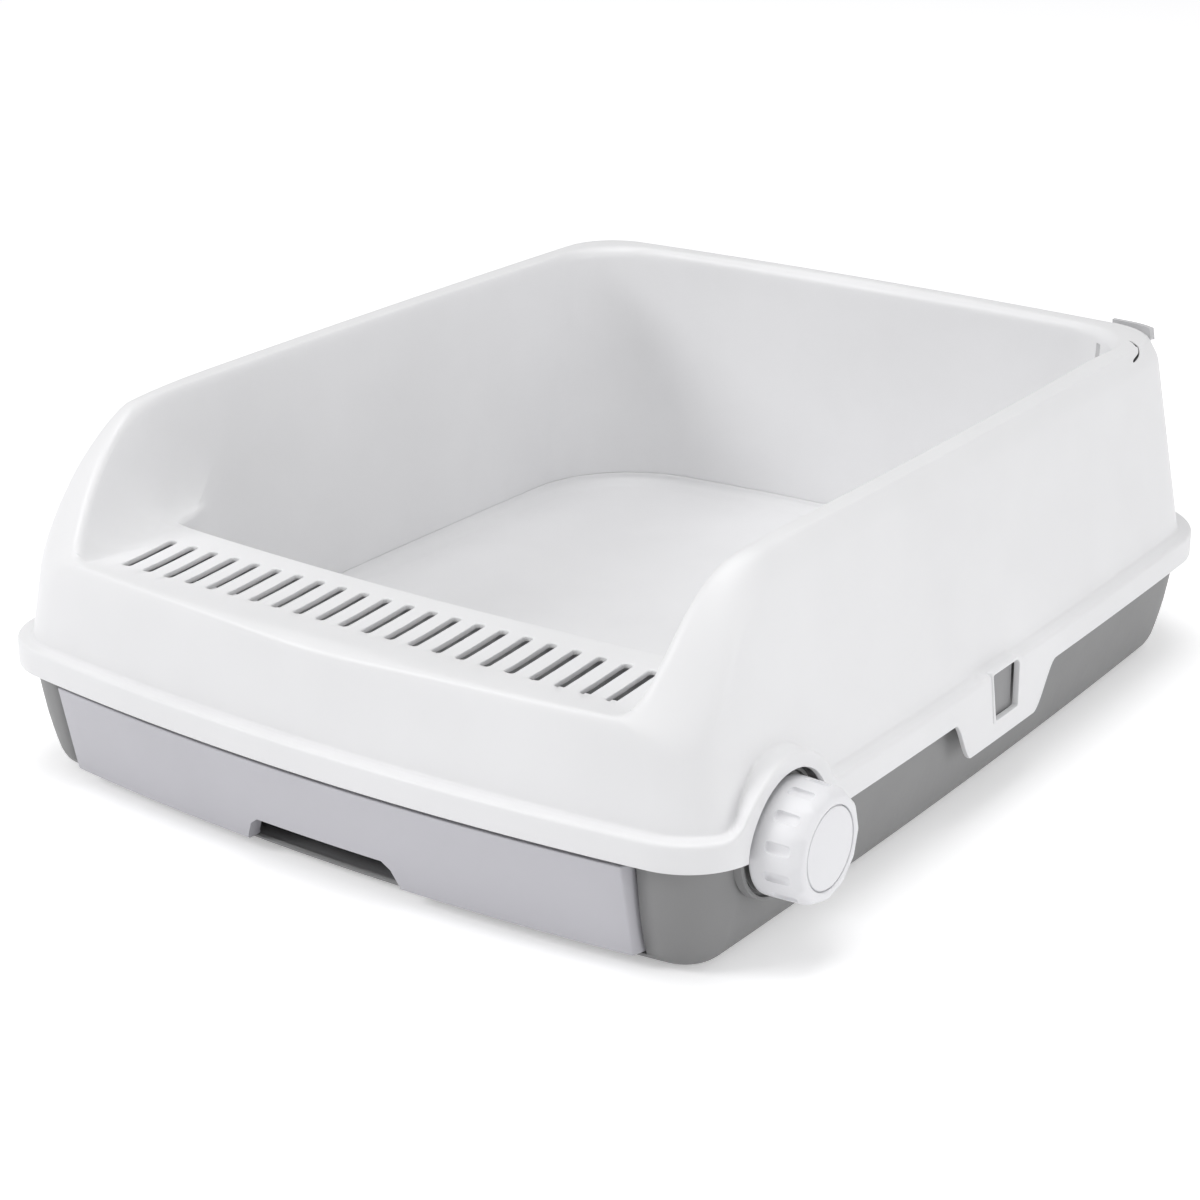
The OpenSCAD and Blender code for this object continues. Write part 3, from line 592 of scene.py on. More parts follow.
def cove_path(c, way, reach, drop_in, front):
    """The inner wall, the hollow at its foot and the ledge, to just before the ledge's rear edge."""
    v = min(drop_in, FILLET_R)
    h = min(FILLET_R, reach, 2.2 * drop_in)
    edge = min(0.3, reach / 4)
    top = max(drop_in - v, 2.2 + 0.1 * drop_in) if drop_in > 4 else 0.02
    path = [c + way * edge - np.array([0, 0, top])]
    last = reach - min(4.5, 0.2 * reach)
    spots = [edge + (h - edge) * (1 - math.cos(math.radians(a))) for a in (12, 24, 36, 48, 60, 70, 78)]
    spots += [blend(spots[-1], last, t) for t in (0.15, 0.3, 0.45, 0.6, 0.75, 0.88, 1.0)]
    for x in spots:
        hollow = math.sqrt(max(1 - (1 - (x - edge) / max(h - edge, 1e-6)) ** 2, 0)) if x < h else 1.0
        p = c + way * x
        p[2] = min(LEDGE_H + v * (1 - hollow), c[2] - edge * 0.2)
        p[2] -= ledge_dip(p[1]) if front else 0
        path.append(p)
    return path


def soft_corner(before, c, after, reach):
    """A path whose corner at c is a soft curve that begins and ends this far from it."""
    line = np.array(before + [c] + after)
    arc = np.concatenate([[0], np.cumsum(np.sqrt(((line[1:] - line[:-1]) ** 2).sum(1)))])
    arc -= arc[len(before)]
    reach = min(reach, -0.8 * arc[0], 0.8 * arc[-1])

    def place(d):
        return np.array([np.interp(d, arc, line[:, k]) for k in range(3)])

    def kept(d):
        return place(d if abs(d) > 2 * reach else math.copysign(reach + abs(d) / 2, d))

    p, q = place(-reach), place(reach)
    way_in, way_out = p - place(-1.15 * reach), place(1.15 * reach) - q
    h1, h2 = p + way_in / norm(way_in) * 0.58 * reach, q - way_out / norm(way_out) * 0.58 * reach
    bend = [bezier(p, h1, h2, q, t) for t in np.linspace(0, 1, 12)]
    places = [kept(d) for d in arc[:len(before)]] + bend + [kept(d) for d in arc[len(before) + 1:]]
    return [(made, 0, 1) for made in places]


print("a section's rim has", len(rim_path(*[np.zeros(3)] * 5, 0.0)), "points and a soft inner edge")

# %% [markdown]
# ## The whole section, and the shell
# All corners of a section are listed in order, each with its radius. Along the
# outline the cove at the ledge fades into a straight inner wall, and the round
# shoulder into a flat rim, so the places are close together there. Only the
# hollow inside the wall begins all at once, where the solid wing ends.

# %% Hood section
def on_wall(foot, head, z):
    """A point at height z on a wall that leans from the flange's level to the rim's."""
    return np.append(blend(foot, head, (z - FLANGE_Z) / (RIM_H - FLANGE_Z)), z)


def shoulder(s):
    """How much deeper the rim's shoulder is at the front corner than elsewhere."""
    if s < 1:
        return s ** 3 * 0.4
    if s < 2.25:
        return (0.4 + 0.3 * math.sin(math.pi * (s - 1) / 1.7)) * (1 - soft_step((s - 1.85) / 0.4))
    return 0.0


def hood_section(s, right):
    """All corners of the section at one place, from the skirt's foot over the rim and back inside."""
    rim = rim_at(s)
    zc = rim_z(rim[1])
    front, tall = s < GUSSET_END, s >= CAVITY_FROM
    skirt, skirt_in = hood_at(SKIRT, s), hood_at(SKIRT.inset(SKIN), s)
    wall_foot, wall_head = hood_at(WALL, s), hood_at(TOP, s)
    inner_foot, inner_head = hood_at(WALL.inset(SKIN), s), hood_at(TOP.inset(SKIN), s)
    top, foot_z = skirt_top(skirt[1], right), skirt_foot(skirt[1])

    def wall(z):
        return on_wall(wall_foot, wall_head, z)

    def wall_in(z):
        return on_wall(inner_foot, inner_head, z)

    drop = min(11.5 + 12 * shoulder(s), (zc - FLANGE_Z) * 0.45)
    a, k, c = wall(max(zc - drop, top + 3)), wall(zc), np.append(rim, zc)
    e = np.append(blend(rim, k[:2], 0.83), zc)
    low = ledge_at(s)
    lean = soft_step((s - LEAN_FROM) / LEAN_L)
    foot = blend(low, rim, lean * (1 - (zc - LEDGE_H) / (zc - INNER_Z)))
    reach = norm(foot - rim)
    way = np.append((foot - rim) / max(reach, 0.001), 0)
    path = [(np.append(skirt, foot_z), 0.8, 3)]
    path += [(np.append(skirt, blend(foot_z, top, t)), 0, 1) for t in (0.3, 0.6)]
    path += [(np.append(skirt, top), 2.6, 6), (wall(top), 2.2, 5)]
    path += [(blend(wall(top), a, t), 0, 1) for t in (0.25, 0.5, 0.75)]
    crown = soft_step((s - CROWN_FROM) / CROWN_L)
    crest = rim_path(blend(wall(top), a, 0.94), a, k, c, e, crown)
    cove = cove_path(c, way, reach, zc - LEDGE_H, front)
    fall = np.append(foot, LEDGE_H)
    if lean > 0:
        cove = [blend(p, blend(c, fall, 0.2 + 0.05 * i), lean) for i, p in enumerate(cove)]
    crest = soft_corner(crest, c, cove, RIM_SOFT)
    path += crest[:-8]
    turn = math.pi / 2 * min(max((s - 2) / (GUSSET_END - 2), 0), 1)
    out = SKIN * np.array([math.sin(turn), -math.cos(turn)])
    back, back_head = low + out, (rim if tall else foot) + out
    if s > 3:
        back, back_head = INNER_FOOT.inset(-SKIN).at(s), RIM_EDGE.inset(-SKIN).at(s)
    end_z = LEDGE_SKIRT_Z if front else INNER_Z
    drop_edge = [blend(fall, np.append(low, end_z), t) for t in (0.35, 0.7, 0.95)]
    round_edge = 3.4 + min(10, 0.5 * reach) * soft_step((s - ROUND_FROM) / ROUND_L) * (1 - lean)
    path += soft_corner([p for p, _, _ in crest[-8:]], fall, drop_edge, round_edge)
    path += [(np.append(low, end_z), 0.35, 4), (np.append(back, end_z), 0.35, 4)]
    inner_z = max((zc - SKIN - 6 - FLANGE_Z) / (RIM_H - FLANGE_Z), 0.2) * (RIM_H - FLANGE_Z) + FLANGE_Z
    roof = wall_in(inner_z if tall else min(inner_z, LEDGE_H - SKIN - 3))
    head = zc - SKIN - 4 if tall else LEDGE_H - SKIN
    for t in (0, 0.15, 0.35, 0.55, 0.75, 0.93):
        p = blend(np.append(back_head, head), roof, t)
        if not tall:
            p[2] = head - ledge_dip(p[1])
        path.append((p, 0, 1))
    path += [(roof, 0, 1), (wall_in(min(top - SKIN + 2, roof[2] - 0.2)), 0, 1)]
    path += [(wall_in(min(top - SKIN, roof[2] - 1)), 0, 1)]
    path += [(np.append(skirt_in, top - SKIN), 0, 1), (np.append(skirt_in, foot_z), 0.6, 3)]
    return rounded(path)


def hood_places():
    """Places along the outline, close together at the wing and at the lug."""
    near = steps(2, GUSSET_END - 0.002, 36) + [GUSSET_END - 0.002]
    lug_from, lug_to = [2 + (y - CORNER_END_Y) / FLANK_L for y in (-60, 66)]
    fade = steps(GUSSET_END, CAVITY_FROM, 22) + [CAVITY_FROM - 0.002] + steps(CAVITY_FROM, lug_from, 4)
    flank = fade + steps(lug_from, lug_to, 96) + steps(lug_to, 3, 16)
    return steps(0, 1, 24) + steps(1, 2, 100) + near + flank + steps(3, 4, 30) + steps(4, 5, 14) + [5]


def hood_shell():
    """The right half's sections, then the left half's, which have no arch, mirrored."""
    places = hood_places()
    rows = [hood_section(s, True) for s in places]
    rows += [[p * FLIP for p in hood_section(s, False)] for s in reversed(places[1:-1])]
    return lofted("hood_shell", rows, "hood_white", 32, "loop")


hood = hood_shell()
print("hood shell", len(hood.data.polygons), "quads")

# %% [markdown]
# ## Slots in the ledge
# Litter that clings to the paws falls back through a row of slots. One rounded
# slot is drawn once and Geometry Nodes repeats it along a line, with the count,
# the pitch and the place as inputs, then the row is cut out of the hood in one
# Boolean. The cutter flares at the top, which leaves the small chamfer that a
# moulded slot has.

# %% Row of slots
def slot_cutter():
    """One rounded slot; it follows the ledge's hollow and flares a little at the top."""
    def outline(half_w, half_l):
        points = []
        r = min(half_w, 2.3)
        for right, back, start in ((1, 1, 0), (-1, 1, 90), (-1, -1, 180), (1, -1, 270)):
            for a in (math.radians(start + turn) for turn in (0, 22, 45, 68, 90)):
                points.append((right * (half_w - r) + r * math.cos(a),
                               back * (half_l - r) + r * math.sin(a)))
        return points

    rows = []
    for z, grow in ((-9, 0.0), (-0.7, 0.0), (-0.35, 0.12), (-0.05, 0.45), (0.2, 0.8), (5, 0.8)):
        ring = outline(SLOT_W / 2 + grow, SLOT_L / 2 + grow)
        rows.append([(x, y, z - ledge_dip(SLOT_Y + y)) for x, y in ring])
    return lofted("slot_cutter", rows, "hood_white")


def repeat_tree(name, kind):
    """A Geometry Nodes tree that repeats the object's own mesh along a line or round a circle."""
    tree = bpy.data.node_groups.new(name, "GeometryNodeTree")
    for label, kind_of in (("Geometry", "Geometry"), ("Count", "Int"), ("Start", "Vector"),
                           ("Step", "Vector"), ("Material", "Material")):
        tree.interface.new_socket(label, in_out="INPUT", socket_type="NodeSocket" + kind_of)
    tree.interface.new_socket("Geometry", in_out="OUTPUT", socket_type="NodeSocketGeometry")
    start, end, line, place, real, paint_node = [tree.nodes.new(kind_of) for kind_of in (
        "NodeGroupInput", "NodeGroupOutput", "GeometryNodeMeshLine", "GeometryNodeInstanceOnPoints",
        "GeometryNodeRealizeInstances", "GeometryNodeSetMaterial")]
    line.mode = "OFFSET"
    links = [(start, "Count", line, "Count"), (start, "Start", line, "Start Location"),
             (line, "Mesh", place, "Points"), (start, "Geometry", place, "Instance")]
    if kind == "line":
        links.append((start, "Step", line, "Offset"))
    else:
        line.inputs["Offset"].default_value = (0, 0, 0)
        index, turn = [tree.nodes.new(kind_of)
                       for kind_of in ("GeometryNodeInputIndex", "ShaderNodeVectorMath")]
        turn.operation = "SCALE"
        links += [(start, "Step", turn, 0), (index, 0, turn, "Scale"), (turn, 0, place, "Rotation")]
    links += [(place, "Instances", real, "Geometry"), (real, "Geometry", paint_node, "Geometry"),
              (start, "Material", paint_node, "Material"), (paint_node, "Geometry", end, "Geometry")]
    for source, output, target, name_in in links:
        tree.links.new(source.outputs[output], target.inputs[name_in])
    return tree


def repeated(made, tree, count, start, step):
    """Repeats a piece from start, in mm, by a step in metres or in radians."""
    use = made.modifiers.new("repeat", "NODES")
    use.node_group = tree
    values = {"Count": count, "Start": [v * MM for v in start], "Step": list(step),
              "Material": made.data.materials[0]}
    for item in tree.interface.items_tree:
        if item.item_type == "SOCKET" and item.in_out == "INPUT" and item.name in values:
            use[item.identifier] = values[item.name]
    return apply_modifiers(made)


ALONG_LINE = repeat_tree("repeat_along_line", "line")
ROUND_AXIS = repeat_tree("repeat_round_axis", "circle")
SLOT_COUNT, SLOT_PITCH, SLOT_W, SLOT_L, SLOT_Y = 22, 14.86, 5.6, 38.4, -230.0
FIRST_SLOT = (-(SLOT_COUNT - 1) / 2 * SLOT_PITCH, SLOT_Y, LEDGE_H)
cut(hood, repeated(slot_cutter(), ALONG_LINE, SLOT_COUNT, FIRST_SLOT, (SLOT_PITCH * MM, 0, 0)))
print("cut", SLOT_COUNT, "slots; the hood has", len(hood.data.polygons), "faces")

# %% [markdown]
# ## Openings in the skirt
# The arch has a round hole for the knob, and each lug a small window through
# which the latch shows. A thin raised frame runs round the window, as moulders
# add it to keep a cut edge stiff. The back wall has a slot for the clip of the
# scoop's holder, and the rim's back corner a fine groove. A thin dark strip in
# the groove is painted shade, laid on the surface by casting a line at the hood
# for each of its points.

# %% Skirt openings
KNOB_HOLE_R, LUG_FACE_X = 33.5, 239.1
WINDOW = [(-11.0, 51.5), (13.5, 51.5), (13.0, 76.5), (10.0, 79.4), (-17.0, 79.4)]
# Depth under the frame's face and width outside the window, round the frame's section.
FRAME_LEVELS = [(3.4, 0.0), (3.4, 1.7), (0.5, 1.7), (0.15, 1.45), (0, 1.1), (0, 0.45), (0.15, 0.15),
                (0.5, 0.0)]
# The holder's clip, which looks through a slot in the back wall.
CLIP_X, CLIP_Z = 170.9, 184.2
# The groove in the rim's back corner: (x, y) and radius, and the direction in which it is laid down.
RIM_GROOVE = [((193.5, 224.3), 0.2), ((196.5, 222.1), 0.5), ((199.7, 219.3), 0.65),
              ((203.9, 214.7), 0.8), ((211.0, 204.6), 1.0), ((214.4, 193.8), 1.05), ((215.4, 189.8), 0.3)]
LAID = Vector((-0.5354, 0.7611, -0.3661))


def round_corners(outline, radius):
    return rounded([(np.array(p, float), radius, 5) for p in outline])


def arch_cutter():
    r, low = KNOB_HOLE_R, SKIRT_Z - 12
    outline = [(AXIS_Y + r * math.cos(a), AXIS_Z + r * math.sin(a)) for a in np.linspace(0, math.pi, 49)]
    outline = [(AXIS_Y + r, low)] + outline + [(AXIS_Y - r, low)]
    rows = []
    for x, grow in ((214, 0.0), (234.2, 0.0), (236.0, 0.5), (237.2, 1.7), (244, 2.0)):
        row = []
        for y, z in outline:
            d = np.array([y - AXIS_Y, max(z - AXIS_Z, 0)])
            d = d / max(norm(d), 1e-6) * grow
            row.append((x, y + d[0], z + d[1]))
        rows.append(row)
    return lofted("arch_cutter", rows, "hood_white")


def grown(outline, d):
    c = np.mean(np.array(outline), axis=0)
    return [tuple(np.array(p) + np.sign(np.array(p) - c) * d) for p in outline]


def window_frame(side):
    """A thin raised band round the window, standing a little out of the lug."""
    rows = [[(side * (LUG_FACE_X - depth), y, z) for y, z in round_corners(grown(WINDOW, grow), 1.6)]
            for depth, grow in FRAME_LEVELS]
    return lofted(f"window_frame_{'right' if side > 0 else 'left'}", rows, "hood_white", 35, "loop")


def on_surface(made, x, y, z):
    """The first place where a line through (x, y, z) along LAID meets a piece."""
    start = Vector((x, y, z)) * MM - LAID * 0.3
    hit, place, _, _ = made.ray_cast(start, LAID)
    return (np.array(place + LAID * 0.0009) / MM) if hit else np.array([x, y, z], float)


def tube(name, route, sides=12, pieces=5):
    """A closed tube whose radius changes along a smooth route of ((x, y, z), radius) points."""
    knots = [np.append(np.array(p, float), r) for p, r in route]
    knots = [knots[0] * 2 - knots[1]] + knots + [knots[-1] * 2 - knots[-2]]
    line = []
    for i in range(1, len(knots) - 2):
        p0, p1, p2, p3 = knots[i - 1:i + 3]
        for t in np.linspace(0, 1, pieces, endpoint=i == len(knots) - 3):
            line.append(0.5 * (2 * p1 + (p2 - p0) * t + (2 * p0 - 5 * p1 + 4 * p2 - p3) * t ** 2
                               + (3 * p1 - p0 - 3 * p2 + p3) * t ** 3))
    rows = []
    for i, q in enumerate(line):
        along = (line[min(i + 1, len(line) - 1)] - line[max(i - 1, 0)])[:3]
        side = np.cross(along, [0.0, 0.3, 1.0])
        side = side / norm(side)
        up = np.cross(side, along)
        up = up / norm(up)
        r = max(q[3], 0.05)
        rows.append([q[:3] + r * (math.cos(a) * side + math.sin(a) * up)
                     for a in np.linspace(0, 2 * math.pi, sides, endpoint=False)])
    return lofted(name, rows, "hood_white", 40)


cut(hood, arch_cutter())
window_frames = []
for side in (-1, 1):
    x0, x1 = sorted((side * 224.0, side * 246.0))
    cut(hood, prism("window_cutter", round_corners(grown(WINDOW, 0.2), 1.6), "X", x0, x1))
    window_frames.append(window_frame(side))
clip_wall_y = hood.ray_cast(Vector((CLIP_X, 100, CLIP_Z)) * MM, Vector((0, 1, 0)))[1].y / MM
cut(hood, box_cutter("clip_slot_cutter", (CLIP_X - 1.8, CLIP_X + 1.8),
                     (clip_wall_y - 12, clip_wall_y + 15), (CLIP_Z - 4.3, CLIP_Z + 4.3)))
route = [(on_surface(hood, x, y, RIM_H), r) for (x, y), r in RIM_GROOVE]
# A thin dark strip laid in the groove: painted shade where the groove's shadow falls.
rim_groove_shade = tube("rim_groove_shade", [(p + np.array([0, 0, -0.35]), r * 0.62) for p, r in route])
paint(rim_groove_shade, "foot_rubber")
cut(hood, tube("rim_groove_cutter", route))
finish_mesh(hood, 32)
print("hood faces", len(hood.data.polygons))

# %% [markdown]
# ## Litter pan
# The pan is a plain deep tray with a soft double curve where its wall meets the
# floor, so that a scoop reaches everything. Its flange rests on the base's rim
# and is clamped there under the hood.

# %% Pan
PAN = Outline(RIM_IN_W + 5.8, -181, RIM_BACK_Y + 5.8, 8, RIM_BACK_R + 5.8, 1.5, SIDE_BOW, BACK_BOW)
PAN_FLOOR, PAN_TOP, PAN_WALL, BASE_RIM = 36.0, 90.0, 2.4, 73.0


def ring3(outline, z):
    return full_ring(VESSEL_PLACES, lambda s: np.append(outline.at(s), z))


# Inset and height above the floor. The hood's inner wall ends just above a step,
# and a double curve runs from there to the floor.
PAN_CURVE = [(0.0, 8.0), (4.7, 8.0), (5.1, 7.7), (5.3, 6.9), (5.5, 6.0), (5.9, 5.0), (6.6, 4.0),
             (7.6, 3.2), (8.8, 2.6), (9.8, 2.2), (10.6, 1.7), (11.6, 1.1), (12.8, 0.6), (14.4, 0.2),
             (16.5, 0.0)]


def pan_piece():
    outside = [(7.0, -PAN_WALL), (2.0, -0.9), (-0.6, 1.2), (-PAN_WALL, 5.0)]
    rows = [ring3(PAN.inset(d), PAN_FLOOR + z) for d, z in outside]
    rows += [ring3(PAN.inset(-PAN_WALL), PAN_TOP - 0.8), ring3(PAN.inset(-PAN_WALL + 0.5), PAN_TOP)]
    rows += [ring3(PAN.inset(-0.4), PAN_TOP), ring3(PAN, PAN_TOP - 0.8)]
    rows += [ring3(PAN.inset(d), PAN_FLOOR + z) for d, z in PAN_CURVE]
    return vessel("pan_tray", rows, "pan_white")


def flange_piece():
    outer, inner = BASE.inset(-3.0), PAN.inset(-1.0)
    top = BASE_RIM + 2.6
    rows = [ring3(o, z) for o, z in ((inner, BASE_RIM), (outer, BASE_RIM), (outer, top), (inner, top))]
    made = lofted("pan_flange", rows, "pan_white", 40, "loop")
    cut(made, box_cutter("flange_front", (-300, 300), (-300, -169), (60, 90)))
    for x in (-236, 236):
        cut(made, box_cutter("flange_notch", (x - 9, x + 9), (-22, 24), (60, 90)))
    return made


pan = pan_piece()
pan_flange = flange_piece()
print("pan", len(pan.data.polygons), "faces")

# %% [markdown]
# ## Base
# The base is a shallow shell with a belly: its wall curves in towards the feet.
# The front is cut open for the drawer, and a double collar round the knob's
# shaft closes the gap under the hood's arch.

# %% Base
# Height and inset of the belly's rings, and half the width of the drawer's way.
BASE_PROFILE = [(3, 19), (3.25, 17.6), (3.9, 16.3), (6.2, 13.6), (9, 11.9), (12, 10.6), (18, 8.9),
                (24, 7.4), (34, 5.2), (45, 3.4), (56, 1.7), (66, 0.4), (73, 0)]
WAY_HALF = 187.5


def base_piece():
    rows = [ring3(BASE.inset(d), z) for z, d in BASE_PROFILE]
    rows += [ring3(BASE.inset(0.5), BASE_RIM), ring3(BASE.inset(2.6), BASE_RIM)]
    rows += [ring3(BASE.inset(d + 2.6), z) for z, d in reversed(BASE_PROFILE[5:-1])]
    rows += [ring3(BASE.inset(14.6), 8.4), ring3(BASE.inset(17.5), 6.2), ring3(BASE.inset(21), 5.6)]
    made = vessel("base_shell", rows, "base_grey")
    way = [(1 - WAY_HALF, 8), (WAY_HALF - 1, 8), (WAY_HALF, 62.6), (-WAY_HALF, 62.6)]
    cut(made, prism("drawer_way", way, "Y", -320, -240))
    return made


def ear_section(x):
    """A disc with a raised rim and a step inside it, as (radius, place along X) points."""
    return [(r, x + d) for r, d in (
        (9.0, -12.2), (10.5, -12.2), (10.5, 0), (33.0, 0), (33.0, 4.7), (32.6, 5.1), (31.2, 5.1),
        (31.0, 4.8), (31.0, 2.8), (29.6, 2.8), (29.4, 3.6), (28.6, 3.6), (28.4, 2.8), (9.0, 2.8))]


base = base_piece()
knob_ear = lathe("knob_ear", ear_section(224.2), (0, AXIS_Y, AXIS_Z), "base_grey", 96, 30)
left_boss = lathe("left_boss", [(8.2, -225), (10.5, -225), (10.5, -212), (8.2, -212)],
                  (0, AXIS_Y, AXIS_Z), "base_grey", 64, 30)
print("base", len(base.data.polygons), "faces")

# %% [markdown]
# ## Drawer front
# The drawer's front is a thick plate bent like the base, leaning out at the
# top. It is a loft of slanted sections and gets soft edges from a Bevel
# modifier, because a real one has no sharp edge anywhere. The finger pull is cut
# out last, so that its own edges stay crisp.

# %% Drawer front
DRAWER_W, DRAWER_TOP, DRAWER_LOW, FRONT_BOW, FRONT_THICK = 183.0, 60.4, 8.5, 12.6, 9.0
FOOT_Y, LEAN, SPLAY = -266.4, 11.2, 2.6


def front_curve(x):
    t = x / (BASE.half - BASE.front_r)
    return FRONT_BOW * (t * t - 1)


def drawer_plate():
    rows = []
    for x in np.linspace(-DRAWER_W, DRAWER_W, 37):
        wide = x * (1 + SPLAY / DRAWER_W)
        y = FOOT_Y + front_curve(x)
        rows.append([(x, y, DRAWER_LOW), (wide, y + FRONT_THICK, DRAWER_LOW),
                     (wide, y + FRONT_THICK - LEAN, DRAWER_TOP), (x, y - LEAN, DRAWER_TOP)])
    made = lofted("drawer_plate", rows, "drawer_grey")
    soften(made, 1.1)
    return made


def soften(made, width):
    bevel = made.modifiers.new("soft_edges", "BEVEL")
    bevel.width = width * MM
    bevel.segments = 3
    bevel.limit_method = "ANGLE"
    bevel.angle_limit = math.radians(35)
    apply_modifiers(made)
    made.data.shade_smooth()
    made.data.set_sharp_from_angle(angle=math.radians(30))


def pull_cutter():
    w, low, high = 50.0, DRAWER_LOW - 3, DRAWER_LOW + 14.9
    outline = [(-w, low), (w, low), (w, DRAWER_LOW + 2), (w - 4, high - 4), (w - 9, high), (9 - w, high),
               (4 - w, high - 4), (-w, DRAWER_LOW + 2)]
    return prism("pull_cutter", outline, "Y", -320, -258.4)


drawer_face = drawer_plate()
cut(drawer_face, pull_cutter())
finish_mesh(drawer_face, 30)
print("drawer front", len(drawer_face.data.polygons), "faces")

# %% [markdown]
# ## Drawer tray
# Behind the front hangs the tray that catches the waste: a shallow open box with
# round corners and a little draft, as it has to leave its mould. It is a loft of
# rounded rectangles like the other vessels.

# %% Drawer tray
TRAY = Outline(173, -256, -91, 5, 5, 0, 0, 0)
# Inset and height of each ring, from the bottom up and down again inside.
TRAY_LEVELS = [(3.0, 8.8), (0.9, 9.1), (0.2, 10.2), (0.0, 12), (0.0, 31.2), (0.3, 31.7), (0.8, 31.8),
               (1.7, 31.8), (2.1, 31.6), (2.2, 31.2), (2.6, 12.8), (3.2, 11.5), (4.6, 11.0)]
drawer_box = vessel("drawer_tray_box", [ring3(TRAY.inset(d), z) for d, z in TRAY_LEVELS], "drawer_grey")
print("drawer tray", len(drawer_box.data.polygons), "faces")

# %% [markdown]
# ## Knob
# The knob is turned with wet or gloved fingers, so its rim has twelve short
# grooves with a flat of the rim's front edge before each. The body is a lathe
# shape whose radius also depends on the angle; one groove cutter is repeated
# round the axis by Geometry Nodes and cut out. The cap is a separate disc with a
# fine gap round it.

# %% Knob
KNOB_X, KNOB_R, GROOVES = 229.8, 29.5, 12
FLAT_FROM, FLAT_DEPTH, KNOB_AT = 19, 0.75, (KNOB_X, AXIS_Y, AXIS_Z)
# Radius and place along the axis, round the body's section.
KNOB_SECTION = [(9.5, 3), (9.5, 22), (26.5, 22), (26.5, 0.6), (28.7, 0.6), (29.3, 1.1), (29.5, 2.2),
                (29.5, 5), (29.25, 12), (29.0, 18), (28.8, 21.5), (28.5, 23.4), (28.0, 25.0),
                (27.2, 26.4), (26.2, 27.4), (25.0, 27.9), (23.6, 28.0), (21.8, 28.0), (21.4, 27.7),
                (21.3, 25.8), (6, 25.8), (6, 3)]
# Place along the axis, half width and depth of a groove.
GROOVE_SECTIONS = [(9.2, 1.6, 0.3), (9.4, 2.2, 1.1), (10.0, 2.6, 1.75), (11.0, 2.8, 2.0),
                   (13.0, 2.8, 2.1), (18.0, 2.8, 2.1), (20.6, 2.75, 1.9), (21.6, 2.6, 1.5),
                   (22.2, 2.2, 0.9), (22.5, 1.6, 0.2)]
CAP_SECTION = [(0.001, 25.9), (20.6, 25.9), (20.75, 26.2), (20.7, 27.3), (20.4, 27.7), (19.8, 27.85),
               (0.001, 27.95)]


def knob_radius(r, x, angle):
    """Flats at the grooves cut into the front edge, more the nearer it is to the face."""
    if r < 24 or x < FLAT_FROM:
        return r
    sector = 2 * math.pi / GROOVES
    off = abs((angle / sector) % 1 - 0.5) * sector
    flat = (r - FLAT_DEPTH * soft_step((x - FLAT_FROM) / 7)) / math.cos(min(off, 0.5))
    return min(r, flat)


def knob_body(turns=288):
    rows = []
    for k in range(turns):
        a = 2 * math.pi * (k + 0.5) / turns
        row = []
        for r, x in KNOB_SECTION:
            q = knob_radius(r, x, a)
            row.append((KNOB_X + x, AXIS_Y + q * math.cos(a), AXIS_Z + q * math.sin(a)))
        rows.append(row)
    return lofted("knob_body", rows, "knob_white", 40, "loop")


def groove_cutter():
    """A short box with round corners and ends that presses a groove into the rim."""
    rows = []
    turn = math.pi / GROOVES
    for x, half, depth in GROOVE_SECTIONS:
        low = KNOB_R - depth - 0.25
        outline = [(low, 0.0), (low, half * 0.55), (low + 0.25, half * 0.8), (low + 0.9, half * 0.96),
                   (KNOB_R + 0.3, half + 0.35), (KNOB_R + 4, half + 0.5)]
        outline += [(r, -w) for r, w in reversed(outline[1:])]
        rows.append([(x, r * math.cos(turn) - w * math.sin(turn), r * math.sin(turn) + w * math.cos(turn))
                     for r, w in outline])
    return lofted("groove_cutter", rows, "knob_white")


knob = knob_body()
cut(knob, repeated(groove_cutter(), ROUND_AXIS, GROOVES, KNOB_AT, (2 * math.pi / GROOVES, 0, 0)))
finish_mesh(knob, 42)
knob_cap = lathe("knob_cap_disc", CAP_SECTION, KNOB_AT, "knob_white", 96, 35)
print("knob", len(knob.data.polygons), "faces, cap", len(knob_cap.data.polygons))

# %% [markdown]
# ## Latches
# A tongue stands up from each side of the base and shows in the lug's window.
# It bends at a thin barrel between two ears. The tongue is a plate with soft
# edges; the barrel and its pin are short round bars.

# %% Latches
LATCH_X, LATCH_Z, LATCH_Y, LATCH_PIN = 231.8, 44.5, 1.0, 1.6
TONGUE = [(-11.5, LATCH_Z), (11.5, LATCH_Z), (10.5, LATCH_Z + 32.5), (-15.5, LATCH_Z + 32.5)]


def bar_y(name, x, z, radius, y0, y1, material, sides=32):
    """A round bar along Y with slightly broken ends."""
    rows = []
    for y, r in ((y0, radius - 0.3), (y0 + 0.3, radius), (y1 - 0.3, radius), (y1, radius - 0.3)):
        rows.append([(x + r * math.cos(a), y, z + r * math.sin(a))
                     for a in np.linspace(0, 2 * math.pi, sides, endpoint=False)])
    return lofted(name, rows, material, 35)


def latch_piece(side):
    name = "latch_tongue_right" if side > 0 else "latch_tongue_left"
    x0, x1 = sorted((side * (LATCH_X + 0.8), side * (LATCH_X + 3.2)))
    plate = prism(name, [(LATCH_Y + y, z) for y, z in TONGUE], "X", x0, x1)
    soften(plate, 0.5)
    for radius, half in ((2.9, 13.6), (LATCH_PIN, 17.0)):
        cut(plate, bar_y("latch_bar", side * LATCH_X, LATCH_Z, radius, LATCH_Y - half, LATCH_Y + half,
                         "latch_grey"), "UNION")
    paint(plate, "latch_grey")
    finish_mesh(plate, 30)
    return plate


latches = [latch_piece(-1), latch_piece(1)]
print("latches", [len(made.data.polygons) for made in latches])

